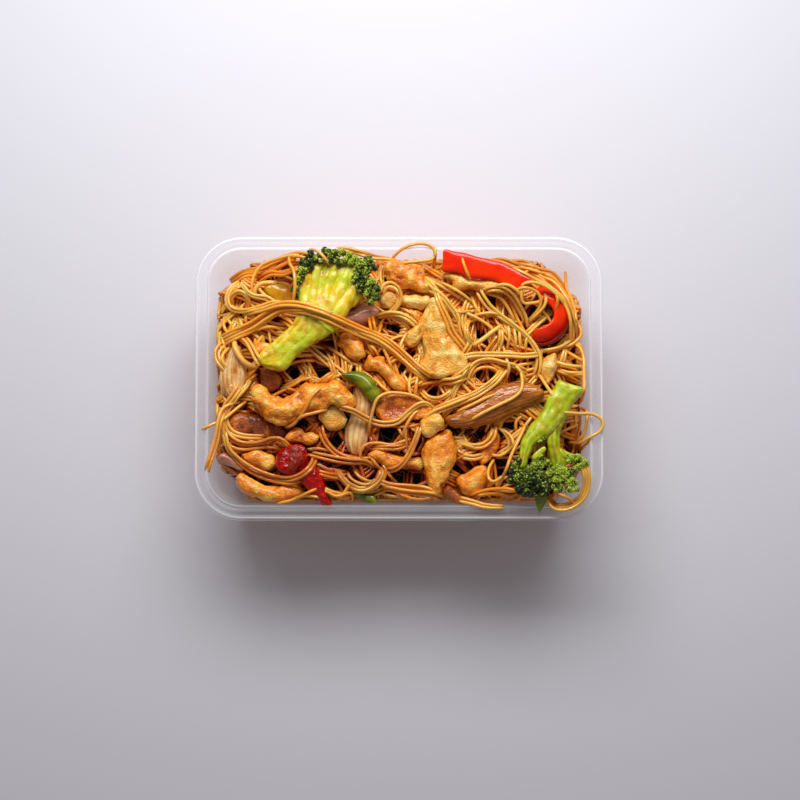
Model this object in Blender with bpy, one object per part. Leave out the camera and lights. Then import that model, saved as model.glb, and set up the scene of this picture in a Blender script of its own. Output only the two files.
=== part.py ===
"""A rectangular takeaway box filled with fried rice noodles, chicken, broccoli, peppers, onion and chilli.

The box stands on the table with its base at z = 0 and its middle on the z axis. +X runs along the long
side, +Y to the far long side and +Z up. Sizes are in millimetres, and MM turns them into Blender's metres.
"""

import math
from dataclasses import dataclass

import bmesh
import bpy
import numpy as np
from mathutils import Vector
from mathutils.bvhtree import BVHTree

MM = 0.001

# The box: outer size at the rim, height, corner radius and wall
RIM_LENGTH = 172.0
RIM_WIDTH = 120.0
BOX_HEIGHT = 50.0
RIM_CORNER = 20.0
WALL = 0.8
SMALLEST_CORNER = 2.0
CORNER_STEPS = 5

# The rim, as distances in from the outer edge
LIP_INSET = 6.2
WALL_TOP_INSET = 7.0
WALL_TOP_LEVEL = BOX_HEIGHT - 2.8
BASE_INSET = 13.2
FLOOR_LEVEL = 1.3

# Clearances between the solids
GAP = 0.4
CELL = 1.0

# The heap of noodles: height of its core at the walls and in the middle, and how the corners dip
CORE_EDGE_LEVEL = 36.0
CORE_MIDDLE_LEVEL = 48.0
CORE_HALF_LENGTH = 78.0
CORE_HALF_WIDTH = 52.0
CORE_FLATNESS = 4
CORE_STEP = 5.4
CORE_SLOPE = 1.0
CORE_LUMP = 0.7
CORNER_DIP = 7.0
FRONT_LEFT_DIP = 15.0
DIP_REACH = 9.0

# A cooked noodle
NOODLE = 1.9
NOODLE_SIDES = 5
NOODLE_STEP = 4.2
NOODLE_LENGTH = 60.0
SHORTEST_NOODLE = 11.0
NOODLE_SPACING = 4.2
NOODLE_SINK = 0.3
END_SINK = 1.0
LOOSE_NOODLES = 27
CANDIDATES = 1500
EVEN_SPREAD = (0.7548776662, 0.5698402910)

# A broccoli branch, at the fork
BRANCH = 5.6

# Points nearer than this are one point after a join
MERGE = 0.002


@dataclass(frozen=True)
class Morsel:
    """One piece of the topping, swept along a bent middle line.

    middle_line holds the (x, y) of its start, middle and end; level is the height of its middle.
    """

    name: str
    middle_line: tuple
    width: float
    thickness: float
    level: float
    colour: tuple
    blunt: float = 2.2
    square: float = 1.0
    lumps: float = 0.12
    arch: float = 0.0
    roll: float = 0.0
    rise: float = 0.0
    taper: float = 0.0
    rings: int = 8
    sides: int = 8
    seed: int = 1


@dataclass(frozen=True)
class Floret:
    """A broccoli floret: a stalk, branches that fan out from its fork, and a cluster of buds on each.

    stalk holds the (x, y) of its cut end, middle and fork. The clusters lie round an ellipse about crown, with
    half axes reach, between the two angles of fan, in degrees.
    """

    name: str
    stalk: tuple
    stalk_width: float
    level: float
    crown: tuple
    reach: tuple
    fan: tuple
    clusters: int
    cluster_radius: float
    seed: int


CHICKEN = (0.85, 0.50, 0.20)
CHICKEN_DARK = (0.72, 0.33, 0.09)
CHICKEN_PALE = (0.90, 0.66, 0.38)
ONION_BROWN = (0.36, 0.15, 0.05)
ONION_PINK = (0.48, 0.27, 0.20)
ONION_CLEAR = (0.62, 0.40, 0.20)
PEPPER_RED = (0.80, 0.06, 0.01)
PEPPER_GREEN = (0.22, 0.34, 0.04)
PEPPER_YELLOW = (0.62, 0.40, 0.05)
CHILLI_RED = (0.55, 0.01, 0.01)
BROCCOLI = (0.30, 0.42, 0.05)
NOODLE_COLOUR = (0.70, 0.42, 0.16)
BOX_COLOUR = (0.86, 0.86, 0.88)

# Laid down in this order, each on those before it
MORSELS = (
    Morsel("onion_ring", ((-69.9, 11.3), (-71.4, 0.4), (-67.4, -7.5)), 10.0, 7.0, 43.5, ONION_CLEAR,
           seed=11),
    Morsel("onion_purple", ((-74.0, -33.5), (-70.6, -34.6), (-66.8, -36.0)), 5.0, 5.0, 42.0, ONION_PINK,
           seed=12),
    Morsel("chicken_under", ((-66.5, -19.0), (-58.2, -21.5), (-48.5, -24.0)), 8.0, 7.5, 41.5, CHICKEN_DARK,
           seed=13),
    Morsel("chicken_dark", ((-57.8, 3.0), (-54.5, -0.3), (-52.2, -3.4)), 7.5, 7.0, 43.0, CHICKEN_DARK,
           seed=14),
    Morsel("chicken_crumb", ((-60.4, 12.6), (-57.2, 12.6), (-53.8, 12.2)), 5.6, 6.0, 45.0, CHICKEN,
           seed=15),
    Morsel("pepper_yellow", ((-56.4, 35.8), (-51.6, 35.6), (-46.6, 34.7)), 11.0, 4.0, 45.0, PEPPER_YELLOW,
           blunt=4.0, lumps=0.05, arch=1.5, seed=16),
    Morsel("onion_pink", ((-25.5, 22.6), (-17.2, 26.0), (-8.8, 28.4)), 9.0, 5.0, 45.5, ONION_PINK,
           blunt=2.6, lumps=0.05, arch=2.0, seed=17),
    Morsel("onion_soft", ((-12.6, -9.0), (-16.3, -20.1), (-20.4, -31.5)), 11.0, 4.0, 43.0, ONION_CLEAR,
           blunt=3.0, lumps=0.06, arch=2.0, seed=18),
    Morsel("chicken_left", ((-65.5, -30.6), (-59.8, -33.6), (-53.6, -35.4)), 8.5, 8.0, 43.0, CHICKEN,
           seed=19),
    Morsel("chicken_strip", ((-67.0, -42.0), (-56.4, -47.4), (-43.0, -47.6)), 7.2, 7.5, 43.5, CHICKEN,
           rings=10, seed=20),
    Morsel("chicken_bar", ((-12.2, -31.6), (-1.3, -34.3), (9.4, -36.4)), 7.6, 7.0, 44.0, CHICKEN,
           rise=-1.0, rings=10, seed=21),
    Morsel("bean_green", ((-20.9, -48.3), (-15.5, -49.6), (-10.2, -50.4)), 4.2, 3.4, 42.5, PEPPER_GREEN,
           lumps=0.04, seed=22),
    Morsel("chicken_flake", ((18.6, -47.2), (23.6, -49.0), (28.8, -49.8)), 5.0, 5.5, 43.0, CHICKEN,
           seed=23),
    Morsel("chicken_white", ((66.2, 11.0), (64.4, 4.6), (62.6, -1.2)), 9.0, 8.0, 45.0, CHICKEN_PALE,
           seed=24),
    Morsel("chicken_slice", ((40.6, -21.4), (39.4, -28.4), (36.4, -34.2)), 8.0, 6.0, 43.0, CHICKEN,
           seed=25),
    Morsel("chicken_end", ((25.0, -43.4), (31.0, -40.6), (37.6, -38.4)), 9.0, 8.5, 45.5, CHICKEN_PALE,
           seed=26),
    Morsel("onion_wedge", ((20.4, -18.2), (38.9, -11.0), (58.6, -5.4)), 13.5, 7.5, 47.5, ONION_BROWN,
           blunt=2.4, lumps=0.03, arch=1.5, rings=10, sides=10, seed=27),
    Morsel("chicken_top", ((-3.4, 46.4), (4.4, 43.6), (13.2, 41.0)), 12.5, 9.0, 47.0, CHICKEN,
           lumps=0.16, rings=9, sides=10, seed=28),
    Morsel("chicken_fold", ((-4.4, 31.4), (0.6, 31.6), (5.6, 31.0)), 8.0, 7.0, 46.5, CHICKEN, seed=29),
    Morsel("chicken_big", ((14.4, 32.4), (16.8, 17.6), (21.4, 1.4)), 16.5, 9.0, 48.5, CHICKEN_PALE,
           lumps=0.14, taper=-0.4, rings=11, sides=11, seed=30),
    Morsel("chicken_arm", ((5.2, 22.4), (2.8, 17.2), (0.4, 12.2)), 6.6, 7.0, 47.0, CHICKEN, seed=31),
    Morsel("chicken_knob", ((-23.6, 18.6), (-20.4, 12.8), (-15.4, 8.8)), 9.5, 9.0, 46.5, CHICKEN_DARK,
           lumps=0.2, seed=32),
    Morsel("chicken_crisp", ((-12.6, 6.8), (-4.4, 1.4), (3.8, -5.4)), 7.5, 7.5, 46.5, CHICKEN_DARK,
           seed=33),
    Morsel("chicken_long", ((-59.8, -5.6), (-44.6, -14.8), (-20.8, -7.8)), 12.6, 10.0, 49.0, CHICKEN,
           lumps=0.14, rings=12, sides=11, seed=34),
    Morsel("chicken_lobe", ((-32.2, -21.4), (-27.4, -20.6), (-22.8, -21.4)), 5.8, 6.0, 45.0, CHICKEN_PALE,
           seed=35),
    Morsel("chicken_nub", ((-46.6, -27.4), (-41.0, -26.2), (-35.2, -27.0)), 5.8, 6.0, 46.0, CHICKEN,
           seed=36),
    Morsel("pepper_green", ((-23.6, 0.2), (-14.4, -2.2), (-7.8, -11.0)), 6.0, 3.6, 48.5, PEPPER_GREEN,
           blunt=3.0, lumps=0.02, arch=1.6, seed=37),
    Morsel("chicken_ear", ((-5.4, -17.0), (2.4, -12.4), (12.6, -14.2)), 9.0, 7.5, 46.5, CHICKEN_DARK,
           lumps=0.16, seed=38),
    Morsel("chicken_drop", ((18.4, -25.8), (16.8, -35.6), (13.4, -48.0)), 12.5, 9.5, 48.0, CHICKEN_PALE,
           taper=0.5, rings=10, sides=10, seed=39),
    Morsel("chicken_cube", ((8.6, -22.0), (13.2, -20.6), (17.6, -19.6)), 6.8, 7.0, 49.0, CHICKEN, seed=40),
    Morsel("chilli_round", ((-49.6, -33.0), (-45.8, -35.2), (-41.6, -38.2)), 9.6, 8.0, 47.5, CHILLI_RED,
           lumps=0.05, seed=41),
    Morsel("chilli_tail", ((-38.4, -40.6), (-34.0, -46.2), (-29.2, -53.4)), 7.6, 5.0, 48.4, CHILLI_RED,
           lumps=0.08, taper=0.7, rise=3.0, seed=42),
    Morsel("chicken_pale", ((19.6, 43.0), (30.8, 39.4), (43.4, 36.8)), 6.5, 6.5, 46.0, CHICKEN_PALE,
           rings=10, seed=44),
    Morsel("pepper_strip", ((18.6, 49.0), (36.8, 46.6), (55.6, 39.4)), 9.0, 3.2, 51.0, PEPPER_RED,
           blunt=9.0, lumps=0.02, arch=2.4, taper=0.25, rings=10, seed=45),
    Morsel("pepper_curl", ((54.8, 33.0), (69.6, 29.0), (58.4, 16.0)), 8.5, 3.2, 47.0, PEPPER_RED,
           blunt=9.0, lumps=0.02, arch=1.0, roll=-28.0, rings=11, seed=46),
)

FLORETS = (
    Floret("broccoli_left", ((-54.6, 3.4), (-43.6, 16.6), (-32.4, 30.2)), 10.5, 52.0,
           (-24.4, 37.0), (15.2, 12.4), (198.0, -42.0), 9, 4.5, 51),
    Floret("broccoli_right", ((70.6, -3.6), (66.0, -15.0), (62.4, -26.0)), 9.5, 53.0,
           (60.8, -38.0), (12.8, 9.6), (150.0, 378.0), 8, 4.8, 52),
)

# Noodles that cross the rim, and so show in the box's outline
RIM_NOODLES = (
    ((-6.0, 41.0), (-2.2, 49.4), (2.2, 53.6), (7.8, 55.9), (13.4, 55.2), (15.4, 52.0), (14.8, 46.5)),
    ((68.5, -14.8), (78.8, -15.8), (83.2, -17.6), (84.6, -20.6), (82.3, -23.6), (78.6, -25.4), (68.5, -27.0)),
    ((-82.4, -21.6), (-78.0, -19.6), (-73.4, -17.4), (-67.5, -12.5), (-64.0, -9.5)),
    ((-80.4, -38.9), (-78.6, -32.6), (-77.2, -25.5), (-74.4, -13.5), (-66.0, -9.5)),
    ((70.0, -24.0), (78.0, -29.5), (81.2, -38.0), (80.4, -46.5), (76.4, -53.0), (69.0, -56.6), (61.0, -56.4),
     (50.0, -54.0), (43.0, -46.0)),
)

# Noodles that lie along the walls
WALL_NOODLES = (
    ((71.0, 44.4), (71.2, 40.0), (72.2, 35.0), (74.2, 27.0), (74.6, 16.0)),
    ((-72.0, 42.0), (-75.0, 36.0), (-74.0, 27.0), (-66.0, 24.5), (-56.0, 26.5)),
    ((-66.0, 44.5), (-54.0, 47.6), (-42.0, 48.8), (-30.0, 48.8)),
)


def outline(inset, level, steps=CORNER_STEPS):
    """The rounded rectangle that lies inset from the rim's outer edge, as points in order anticlockwise."""
    half_x = RIM_LENGTH / 2 - inset
    half_y = RIM_WIDTH / 2 - inset
    radius = max(RIM_CORNER - inset, SMALLEST_CORNER)
    points = []
    for corner, (sign_x, sign_y) in enumerate(((1, 1), (-1, 1), (-1, -1), (1, -1))):
        for step in range(steps + 1):
            angle = math.radians(90) * (corner + step / steps)
            x = sign_x * (half_x - radius) + radius * math.cos(angle)
            y = sign_y * (half_y - radius) + radius * math.sin(angle)
            points.append((x, y, level))
    return points


def mesh_object(name, points, faces, colour, roughness=0.5):
    """An object from points in millimetres, its faces turned outwards."""
    mesh = bpy.data.meshes.new(name)
    shape = bmesh.new()
    corners = [shape.verts.new(Vector(point) * MM) for point in points]
    for face in faces:
        shape.faces.new([corners[index] for index in face])
    bmesh.ops.recalc_face_normals(shape, faces=shape.faces[:])
    shape.to_mesh(mesh)
    shape.free()
    made = bpy.data.objects.new(name, mesh)
    bpy.context.scene.collection.objects.link(made)
    mesh.shade_smooth()
    mesh.set_sharp_from_angle(angle=math.radians(40))
    mesh.materials.append(finish(name, colour, roughness))
    return made


def finish(name, colour, roughness):
    """A plain finish of one colour."""
    material = bpy.data.materials.new(name)
    material.use_nodes = True
    surface = material.node_tree.nodes["Principled BSDF"]
    surface.inputs["Base Color"].default_value = (*colour, 1.0)
    surface.inputs["Roughness"].default_value = roughness
    return material


def band(first, second, count):
    """Four-sided faces between two rings of count points, whose numbering starts at first and at second."""
    return [
        (first + k, first + (k + 1) % count, second + (k + 1) % count, second + k)
        for k in range(count)
    ]


def loft(rings):
    """Points and faces of the solid that runs through the rings, closed by a flat face at each end."""
    count = len(rings[0])
    points = [point for ring in rings for point in ring]
    faces = [tuple(range(count))]
    for number in range(len(rings) - 1):
        faces += band(number * count, (number + 1) * count, count)
    faces.append(tuple(range((len(rings) - 1) * count, len(rings) * count)))
    return points, faces


def box_profile():
    """(inset, level) of the box's skin, from the inner floor over the rim to the underside of the base."""
    top = BOX_HEIGHT
    inside = [
        (19.0, FLOOR_LEVEL),
        (16.2, FLOOR_LEVEL + 0.3),
        (14.6, FLOOR_LEVEL + 1.5),
        (WALL_TOP_INSET, WALL_TOP_LEVEL),
    ]
    inner_lip = [(LIP_INSET + 0.4, top - 0.7), (LIP_INSET, top - 0.2), (LIP_INSET - 0.5, top - 0.2)]
    inner_groove = [(5.2, top - 1.0), (4.8, top - 1.0)]
    bead = [(4.4, top - 0.2), (3.9, top), (3.4, top - 0.1)]
    outer_groove = [(2.9, top - 1.1), (2.3, top - 1.2)]
    outer_lip = [(1.7, top - 0.8), (0.9, top - 0.9), (0.3, top - 1.5), (0.0, top - 2.4)]
    skirt = [(0.0, top - 4.8), (WALL, top - 4.8), (WALL, top - 2.9), (1.6, top - 2.2)]
    underside = [(5.6, top - 2.2), (WALL_TOP_INSET - WALL, top - 3.4)]
    outside = [(BASE_INSET, 3.0), (BASE_INSET + 1.0, 0.9), (BASE_INSET + 2.8, 0.0)]
    foot = [(BASE_INSET + 5.0, 0.0), (BASE_INSET + 5.8, 0.5)]
    return [
        *inside, *inner_lip, *inner_groove, *bead, *outer_groove, *outer_lip,
        *skirt, *underside, *outside, *foot,
    ]


def make_box():
    """The open box with its snap-on rim."""
    points, faces = loft([outline(inset, level) for inset, level in box_profile()])
    return mesh_object("box", points, faces, BOX_COLOUR, 0.3)


def curve_through(start, middle, end, share):
    """Points of the parabola through three points, at the given shares of its length."""
    start, middle, end = (np.array(point, float) for point in (start, middle, end))
    pull = 2 * middle - (start + end) / 2
    share = share[:, None]
    return (1 - share) ** 2 * start + 2 * share * (1 - share) * pull + share**2 * end


def smooth_path(points, count):
    """count points, evenly spaced, of the smooth curve through the points (Catmull-Rom)."""
    knots = np.array([points[0], *points, points[-1]], float)
    fine = []
    for number in range(1, len(knots) - 2):
        before, here, there, after = knots[number - 1:number + 3]
        for share in np.linspace(0, 1, 12, endpoint=False):
            fine.append(
                0.5 * (2 * here + (there - before) * share
                       + (2 * before - 5 * here + 4 * there - after) * share**2
                       + (3 * here - before - 3 * there + after) * share**3)
            )
    fine = np.array([*fine, knots[-1]])
    along = np.concatenate([[0], np.cumsum(np.linalg.norm(np.diff(fine, axis=0), axis=1))])
    at = np.linspace(0, along[-1], count)
    return np.stack([np.interp(at, along, fine[:, axis]) for axis in range(fine.shape[1])], axis=1)


def lumpiness(share, angle, amount, seed):
    """How far the skin swells or dips at a share of the length and an angle round it: a sum of slow waves."""
    draw = np.random.default_rng(seed)
    swell = np.zeros(np.broadcast(share, angle).shape)
    for waves, turns in ((1.5, 1), (2.5, 2), (3.5, 1), (4.5, 3)):
        phase, twist = draw.uniform(0, 2 * math.pi, 2)
        swell += np.sin(2 * math.pi * waves * share + phase) * np.cos(turns * angle + twist)
    return amount * swell


def morsel_points(piece):
    """Rings of points round the morsel's middle line, and its two end points.

    The half width falls to nothing at both ends as a superellipse. Across, the section is a superellipse too,
    arched upwards by a parabola and rolled about the middle line.
    """
    share = np.linspace(0, 1, piece.rings + 2)
    share = 0.5 - 0.5 * np.cos(math.pi * share)
    middle = curve_through(*piece.middle_line, share)
    slope = np.gradient(middle, share, axis=0)
    slope /= np.linalg.norm(slope, axis=1)[:, None]
    side = np.stack([-slope[:, 1], slope[:, 0]], axis=1)
    angle = np.linspace(0, 2 * math.pi, piece.sides, endpoint=False)[None, :]
    inner = share[1:-1, None]
    full = (1 - np.abs(2 * inner - 1) ** piece.blunt) ** (1 / 2.0) * (1 - piece.taper * (inner - 0.3))
    full = full * (1 + lumpiness(inner, angle, piece.lumps, piece.seed))
    across = piece.width / 2 * full * np.sign(np.cos(angle)) * np.abs(np.cos(angle)) ** piece.square
    upward = piece.thickness / 2 * full * np.sign(np.sin(angle)) * np.abs(np.sin(angle)) ** piece.square
    upward = upward + piece.arch * (1 - (across / (piece.width / 2)) ** 2)
    roll = math.radians(piece.roll)
    over = across * math.cos(roll) - upward * math.sin(roll)
    high = across * math.sin(roll) + upward * math.cos(roll)
    x = middle[1:-1, 0, None] + side[1:-1, 0, None] * over
    y = middle[1:-1, 1, None] + side[1:-1, 1, None] * over
    z = piece.level + piece.rise * (2 * inner - 1) + high
    rings = np.stack([x, y, z], axis=2)
    ends = [(*middle[row], piece.level + piece.rise * (2 * share[row] - 1) + piece.arch) for row in (0, -1)]
    return rings, ends


def make_morsel(piece):
    """One closed solid for a morsel, its ends closed by fans of triangles."""
    rings, (first_end, last_end) = morsel_points(piece)
    sides = piece.sides
    points = [tuple(point) for ring in rings for point in ring] + [first_end, last_end]
    first, last = len(points) - 2, len(points) - 1
    faces = [(first, k, (k + 1) % sides) for k in range(sides)]
    for number in range(len(rings) - 1):
        faces += band(number * sides, (number + 1) * sides, sides)
    start = (len(rings) - 1) * sides
    faces += [(last, start + (k + 1) % sides, start + k) for k in range(sides)]
    return mesh_object(piece.name, points, faces, piece.colour)


def tube(name, path, radius, sides, colour, end_radius=None):
    """A round rod along the path, its section turned with the path, closed by a flat face at each end."""
    path = np.array(path, float)
    slope = np.gradient(path, axis=0)
    slope /= np.linalg.norm(slope, axis=1)[:, None]
    up = np.array([0.0, 0.0, 1.0])
    side = np.cross(slope, up)
    side /= np.linalg.norm(side, axis=1)[:, None]
    lift = np.cross(side, slope)
    angle = np.linspace(0, 2 * math.pi, sides, endpoint=False)
    size = np.linspace(radius, radius if end_radius is None else end_radius, len(path))
    rings = [
        path[row] + size[row] * (np.outer(np.cos(angle), side[row]) + np.outer(np.sin(angle), lift[row]))
        for row in range(len(path))
    ]
    points, faces = loft([[tuple(point) for point in ring] for ring in rings])
    return mesh_object(name, points, faces, colour)


def ball(name, centre, radius):
    """A faceted ball."""
    mesh = bpy.data.meshes.new(name)
    shape = bmesh.new()
    bmesh.ops.create_icosphere(shape, subdivisions=1, radius=radius * MM)
    bmesh.ops.translate(shape, verts=shape.verts, vec=Vector(centre) * MM)
    shape.to_mesh(mesh)
    shape.free()
    made = bpy.data.objects.new(name, mesh)
    bpy.context.scene.collection.objects.link(made)
    return made


def fuse(body, others):
    """Joins the others to the body with one Boolean union, applies it and removes them."""
    group = bpy.data.collections.new(body.name + "_joined")
    for other in others:
        group.objects.link(other)
    union = body.modifiers.new("join", "BOOLEAN")
    union.operation = "UNION"
    union.solver = "EXACT"
    union.operand_type = "COLLECTION"
    union.collection = group
    return keep_main_shell(apply_modifiers(body, others, group))


def apply_modifiers(body, others, group=None):
    """Writes the body's mesh as its modifiers leave it, and removes the helpers."""
    graph = bpy.context.evaluated_depsgraph_get()
    made = bpy.data.meshes.new_from_object(body.evaluated_get(graph))
    body.modifiers.clear()
    body.data = made
    for other in others:
        bpy.data.objects.remove(other)
    if group:
        bpy.data.collections.remove(group)
    return body


def keep_main_shell(body):
    """Keeps the shell with the most faces, which fills hollows that the joining sealed and drops loose scraps."""
    shape = bmesh.new()
    shape.from_mesh(body.data)
    bmesh.ops.remove_doubles(shape, verts=shape.verts, dist=MERGE * MM)
    waiting = set(shape.faces)
    shells = []
    while waiting:
        reached = {waiting.pop()}
        edge = list(reached)
        while edge:
            near = {other for face in edge for side in face.edges for other in side.link_faces} & waiting
            waiting -= near
            reached |= near
            edge = list(near)
        shells.append(reached)
    shells.sort(key=len)
    bmesh.ops.delete(shape, geom=[face for shell in shells[:-1] for face in shell], context="FACES")
    shape.to_mesh(body.data)
    shape.free()
    return body


def make_floret(floret):
    """Stalk, branches and clusters of buds, joined to one solid."""
    draw = np.random.default_rng(floret.seed)
    stalk_path = np.column_stack([curve_through(*floret.stalk, np.linspace(0, 1, 6)), np.full(6, floret.level)])
    fork = stalk_path[-1]
    body = tube(floret.name, stalk_path, floret.stalk_width / 2, 9, BROCCOLI, floret.stalk_width * 0.56)
    parts = []
    for number in range(floret.clusters):
        share = number / (floret.clusters - 1)
        angle = math.radians(floret.fan[0] + (floret.fan[1] - floret.fan[0]) * share)
        centre = np.array([
            floret.crown[0] + floret.reach[0] * math.cos(angle),
            floret.crown[1] + floret.reach[1] * math.sin(angle),
            floret.level + draw.uniform(-0.6, 0.6),
        ])
        radius = floret.cluster_radius * draw.uniform(0.9, 1.08)
        parts.append(ball(f"{floret.name}_buds_{number}", centre, radius))
        branch = np.linspace(fork - (fork - stalk_path[-2]) * 0.5, centre, 3)
        parts.append(tube(f"{floret.name}_branch_{number}", branch, BRANCH / 2, 6, BROCCOLI, radius * 0.75))
    return fuse(body, parts)


def surface_of(made):
    """The object's surface in millimetres, for finding what lies above or below a point."""
    mesh = made.data
    mesh.calc_loop_triangles()
    points = [vertex.co / MM for vertex in mesh.vertices]
    return BVHTree.FromPolygons(points, [tuple(face.vertices) for face in mesh.loop_triangles])


class Map:
    """Heights over a square grid of cells CELL wide that covers the box."""

    def __init__(self, empty):
        self.across = int(RIM_LENGTH / CELL) + 9
        self.along = int(RIM_WIDTH / CELL) + 9
        self.low_x = -CELL * (self.across - 1) / 2
        self.low_y = -CELL * (self.along - 1) / 2
        self.height = np.full((self.across, self.along), empty, float)

    def cell(self, x, y):
        """The row and column of the cell nearest a place."""
        row = np.clip(np.round((np.asarray(x) - self.low_x) / CELL).astype(int), 0, self.across - 1)
        column = np.clip(np.round((np.asarray(y) - self.low_y) / CELL).astype(int), 0, self.along - 1)
        return row, column

    def places(self, low, high):
        """(row, column, x, y) of each cell of a rectangle."""
        rows, columns = self.cell([low[0], high[0]], [low[1], high[1]])
        for row in range(rows[0], rows[1] + 1):
            for column in range(columns[0], columns[1] + 1):
                yield row, column, self.low_x + row * CELL, self.low_y + column * CELL

    def spread(self, reach, pick):
        """The same map with each cell holding the largest or smallest of the cells within reach."""
        wide = int(math.ceil(reach / CELL))
        padded = np.pad(self.height, wide, mode="edge")
        rows, columns = self.height.shape
        shifted = [
            padded[wide + i:wide + i + rows, wide + j:wide + j + columns]
            for i in range(-wide, wide + 1)
            for j in range(-wide, wide + 1)
        ]
        return pick(np.array(shifted), axis=0)


def record_surface(made, tops, undersides=None):
    """Writes an object's highest and lowest surface into the maps."""
    surface = surface_of(made)
    corners = np.array([vertex.co for vertex in made.data.vertices]) / MM
    low, high = corners.min(axis=0) - CELL, corners.max(axis=0) + CELL
    for row, column, x, y in tops.places(low, high):
        above = surface.ray_cast(Vector((x, y, high[2] + 5)), Vector((0, 0, -1)))[0]
        if above is None:
            continue
        tops.height[row, column] = max(tops.height[row, column], above.z)
        if undersides is not None:
            below = surface.ray_cast(Vector((x, y, low[2] - 5)), Vector((0, 0, 1)))[0]
            undersides.height[row, column] = min(undersides.height[row, column], below.z)


def lay_down(made, tops):
    """Raises an object until it clears everything laid before it."""
    surface = surface_of(made)
    corners = np.array([vertex.co for vertex in made.data.vertices]) / MM
    low, high = corners.min(axis=0), corners.max(axis=0)
    below = tops.spread(CELL, np.max)
    raised = 0.0
    for row, column, x, y in tops.places(low - CELL, high + CELL):
        hit = surface.ray_cast(Vector((x, y, low[2] - 5)), Vector((0, 0, 1)))[0]
        if hit is not None:
            raised = max(raised, below[row, column] + GAP - hit.z)
    for vertex in made.data.vertices:
        vertex.co.z += raised * MM


def core_level(x, y):
    """Height of the noodles' core: a flat dome that falls to the walls, with a dip at each corner."""
    dome = np.clip(1 - np.abs(x / CORE_HALF_LENGTH) ** CORE_FLATNESS, 0, 1)
    dome = dome * np.clip(1 - np.abs(y / CORE_HALF_WIDTH) ** CORE_FLATNESS, 0, 1)
    level = CORE_EDGE_LEVEL + (CORE_MIDDLE_LEVEL - CORE_EDGE_LEVEL) * np.sqrt(dome)
    level = level + CORE_LUMP * np.sin(x / 5.1) * np.cos(y / 4.3) + CORE_LUMP * np.sin((x + 2 * y) / 9.7)
    for sign_x in (-1, 1):
        for sign_y in (-1, 1):
            depth = FRONT_LEFT_DIP if sign_x < 0 and sign_y < 0 else CORNER_DIP
            away = (x - sign_x * CORE_HALF_LENGTH) ** 2 + (y - sign_y * CORE_HALF_WIDTH) ** 2
            level = level - depth * np.exp(-away / (2 * DIP_REACH**2))
    return level


def make_core(undersides):
    """The heap without its loose noodles: a height field under every morsel, cut to the box's inside."""
    clear = undersides.spread(CORE_STEP, np.min) - GAP
    half_x, half_y = RIM_LENGTH / 2, RIM_WIDTH / 2
    columns = int(2 * half_x / CORE_STEP) + 1
    rows = int(2 * half_y / CORE_STEP) + 1
    x, y = np.meshgrid(np.linspace(-half_x, half_x, columns), np.linspace(-half_y, half_y, rows), indexing="ij")
    level = np.minimum(core_level(x, y), clear[undersides.cell(x, y)])
    for _ in range(3):
        padded = np.pad(level, 1, mode="edge")
        lowest = np.min([padded[:-2, 1:-1], padded[2:, 1:-1], padded[1:-1, :-2], padded[1:-1, 2:]], axis=0)
        level = np.minimum(level, lowest + CORE_SLOPE * CORE_STEP)
    top = list(zip(x.ravel(), y.ravel(), level.ravel()))
    base_level = -5.0
    bottom = [(px, py, base_level) for px, py, _ in top]
    faces = []
    shift = len(top)

    def at(i, j):
        return i * rows + j

    for i in range(columns - 1):
        for j in range(rows - 1):
            faces.append((at(i, j), at(i + 1, j), at(i + 1, j + 1)))
            faces.append((at(i, j), at(i + 1, j + 1), at(i, j + 1)))
    edge = [at(i, 0) for i in range(columns)] + [at(columns - 1, j) for j in range(1, rows)]
    edge += [at(i, rows - 1) for i in range(columns - 2, -1, -1)] + [at(0, j) for j in range(rows - 2, 0, -1)]
    for k, corner in enumerate(edge):
        after = edge[(k + 1) % len(edge)]
        faces.append((corner, after, after + shift, corner + shift))
    faces.append(tuple(corner + shift for corner in edge))
    used = sorted({index for face in faces for index in face})
    renumber = {index: number for number, index in enumerate(used)}
    points = [(top + bottom)[index] for index in used]
    faces = [tuple(renumber[index] for index in face) for face in faces]
    core = mesh_object("noodles", points, faces, NOODLE_COLOUR)
    inside = [
        (16.4, FLOOR_LEVEL + GAP),
        (15.2, FLOOR_LEVEL + 1.9),
        (WALL_TOP_INSET + GAP, WALL_TOP_LEVEL),
        (WALL_TOP_INSET + GAP, BOX_HEIGHT + 30),
    ]
    points, faces = loft([outline(inset, level) for inset, level in inside])
    cavity = mesh_object("cavity", points, faces, NOODLE_COLOUR)
    cut = core.modifiers.new("fit to the box", "BOOLEAN")
    cut.operation = "INTERSECT"
    cut.solver = "EXACT"
    cut.object = cavity
    return apply_modifiers(core, [cavity])


def wandering_path(draw, seed):
    """A noodle's way in plan, with its middle at the seed: a steady curl with a slower sway."""
    count = 61
    along = np.linspace(-NOODLE_LENGTH / 2, NOODLE_LENGTH / 2, count)
    curl = draw.uniform(-0.07, 0.07)
    sway = draw.uniform(0.4, 0.9)
    phase, start_heading = draw.uniform(0, 2 * math.pi, 2)
    heading = start_heading + curl * along + sway * np.sin(along / 9 + phase)
    moves = (along[1] - along[0]) * np.stack([np.cos(heading), np.sin(heading)], axis=1)
    path = np.cumsum(moves, axis=0)
    return path - path[count // 2] + seed


def run_around(free, index):
    """(start, end) of the unbroken stretch of True that holds the index."""
    start = end = index
    while start > 0 and free[start - 1]:
        start -= 1
    while end < len(free) and free[end]:
        end += 1
    return start, end


def inside_rim(x, y, inset):
    """Whether places lie inside the outline at that inset."""
    radius = max(RIM_CORNER - inset, SMALLEST_CORNER)
    over_x = np.maximum(np.abs(x) - (RIM_LENGTH / 2 - inset - radius), 0)
    over_y = np.maximum(np.abs(y) - (RIM_WIDTH / 2 - inset - radius), 0)
    return np.hypot(over_x, over_y) < radius


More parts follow.
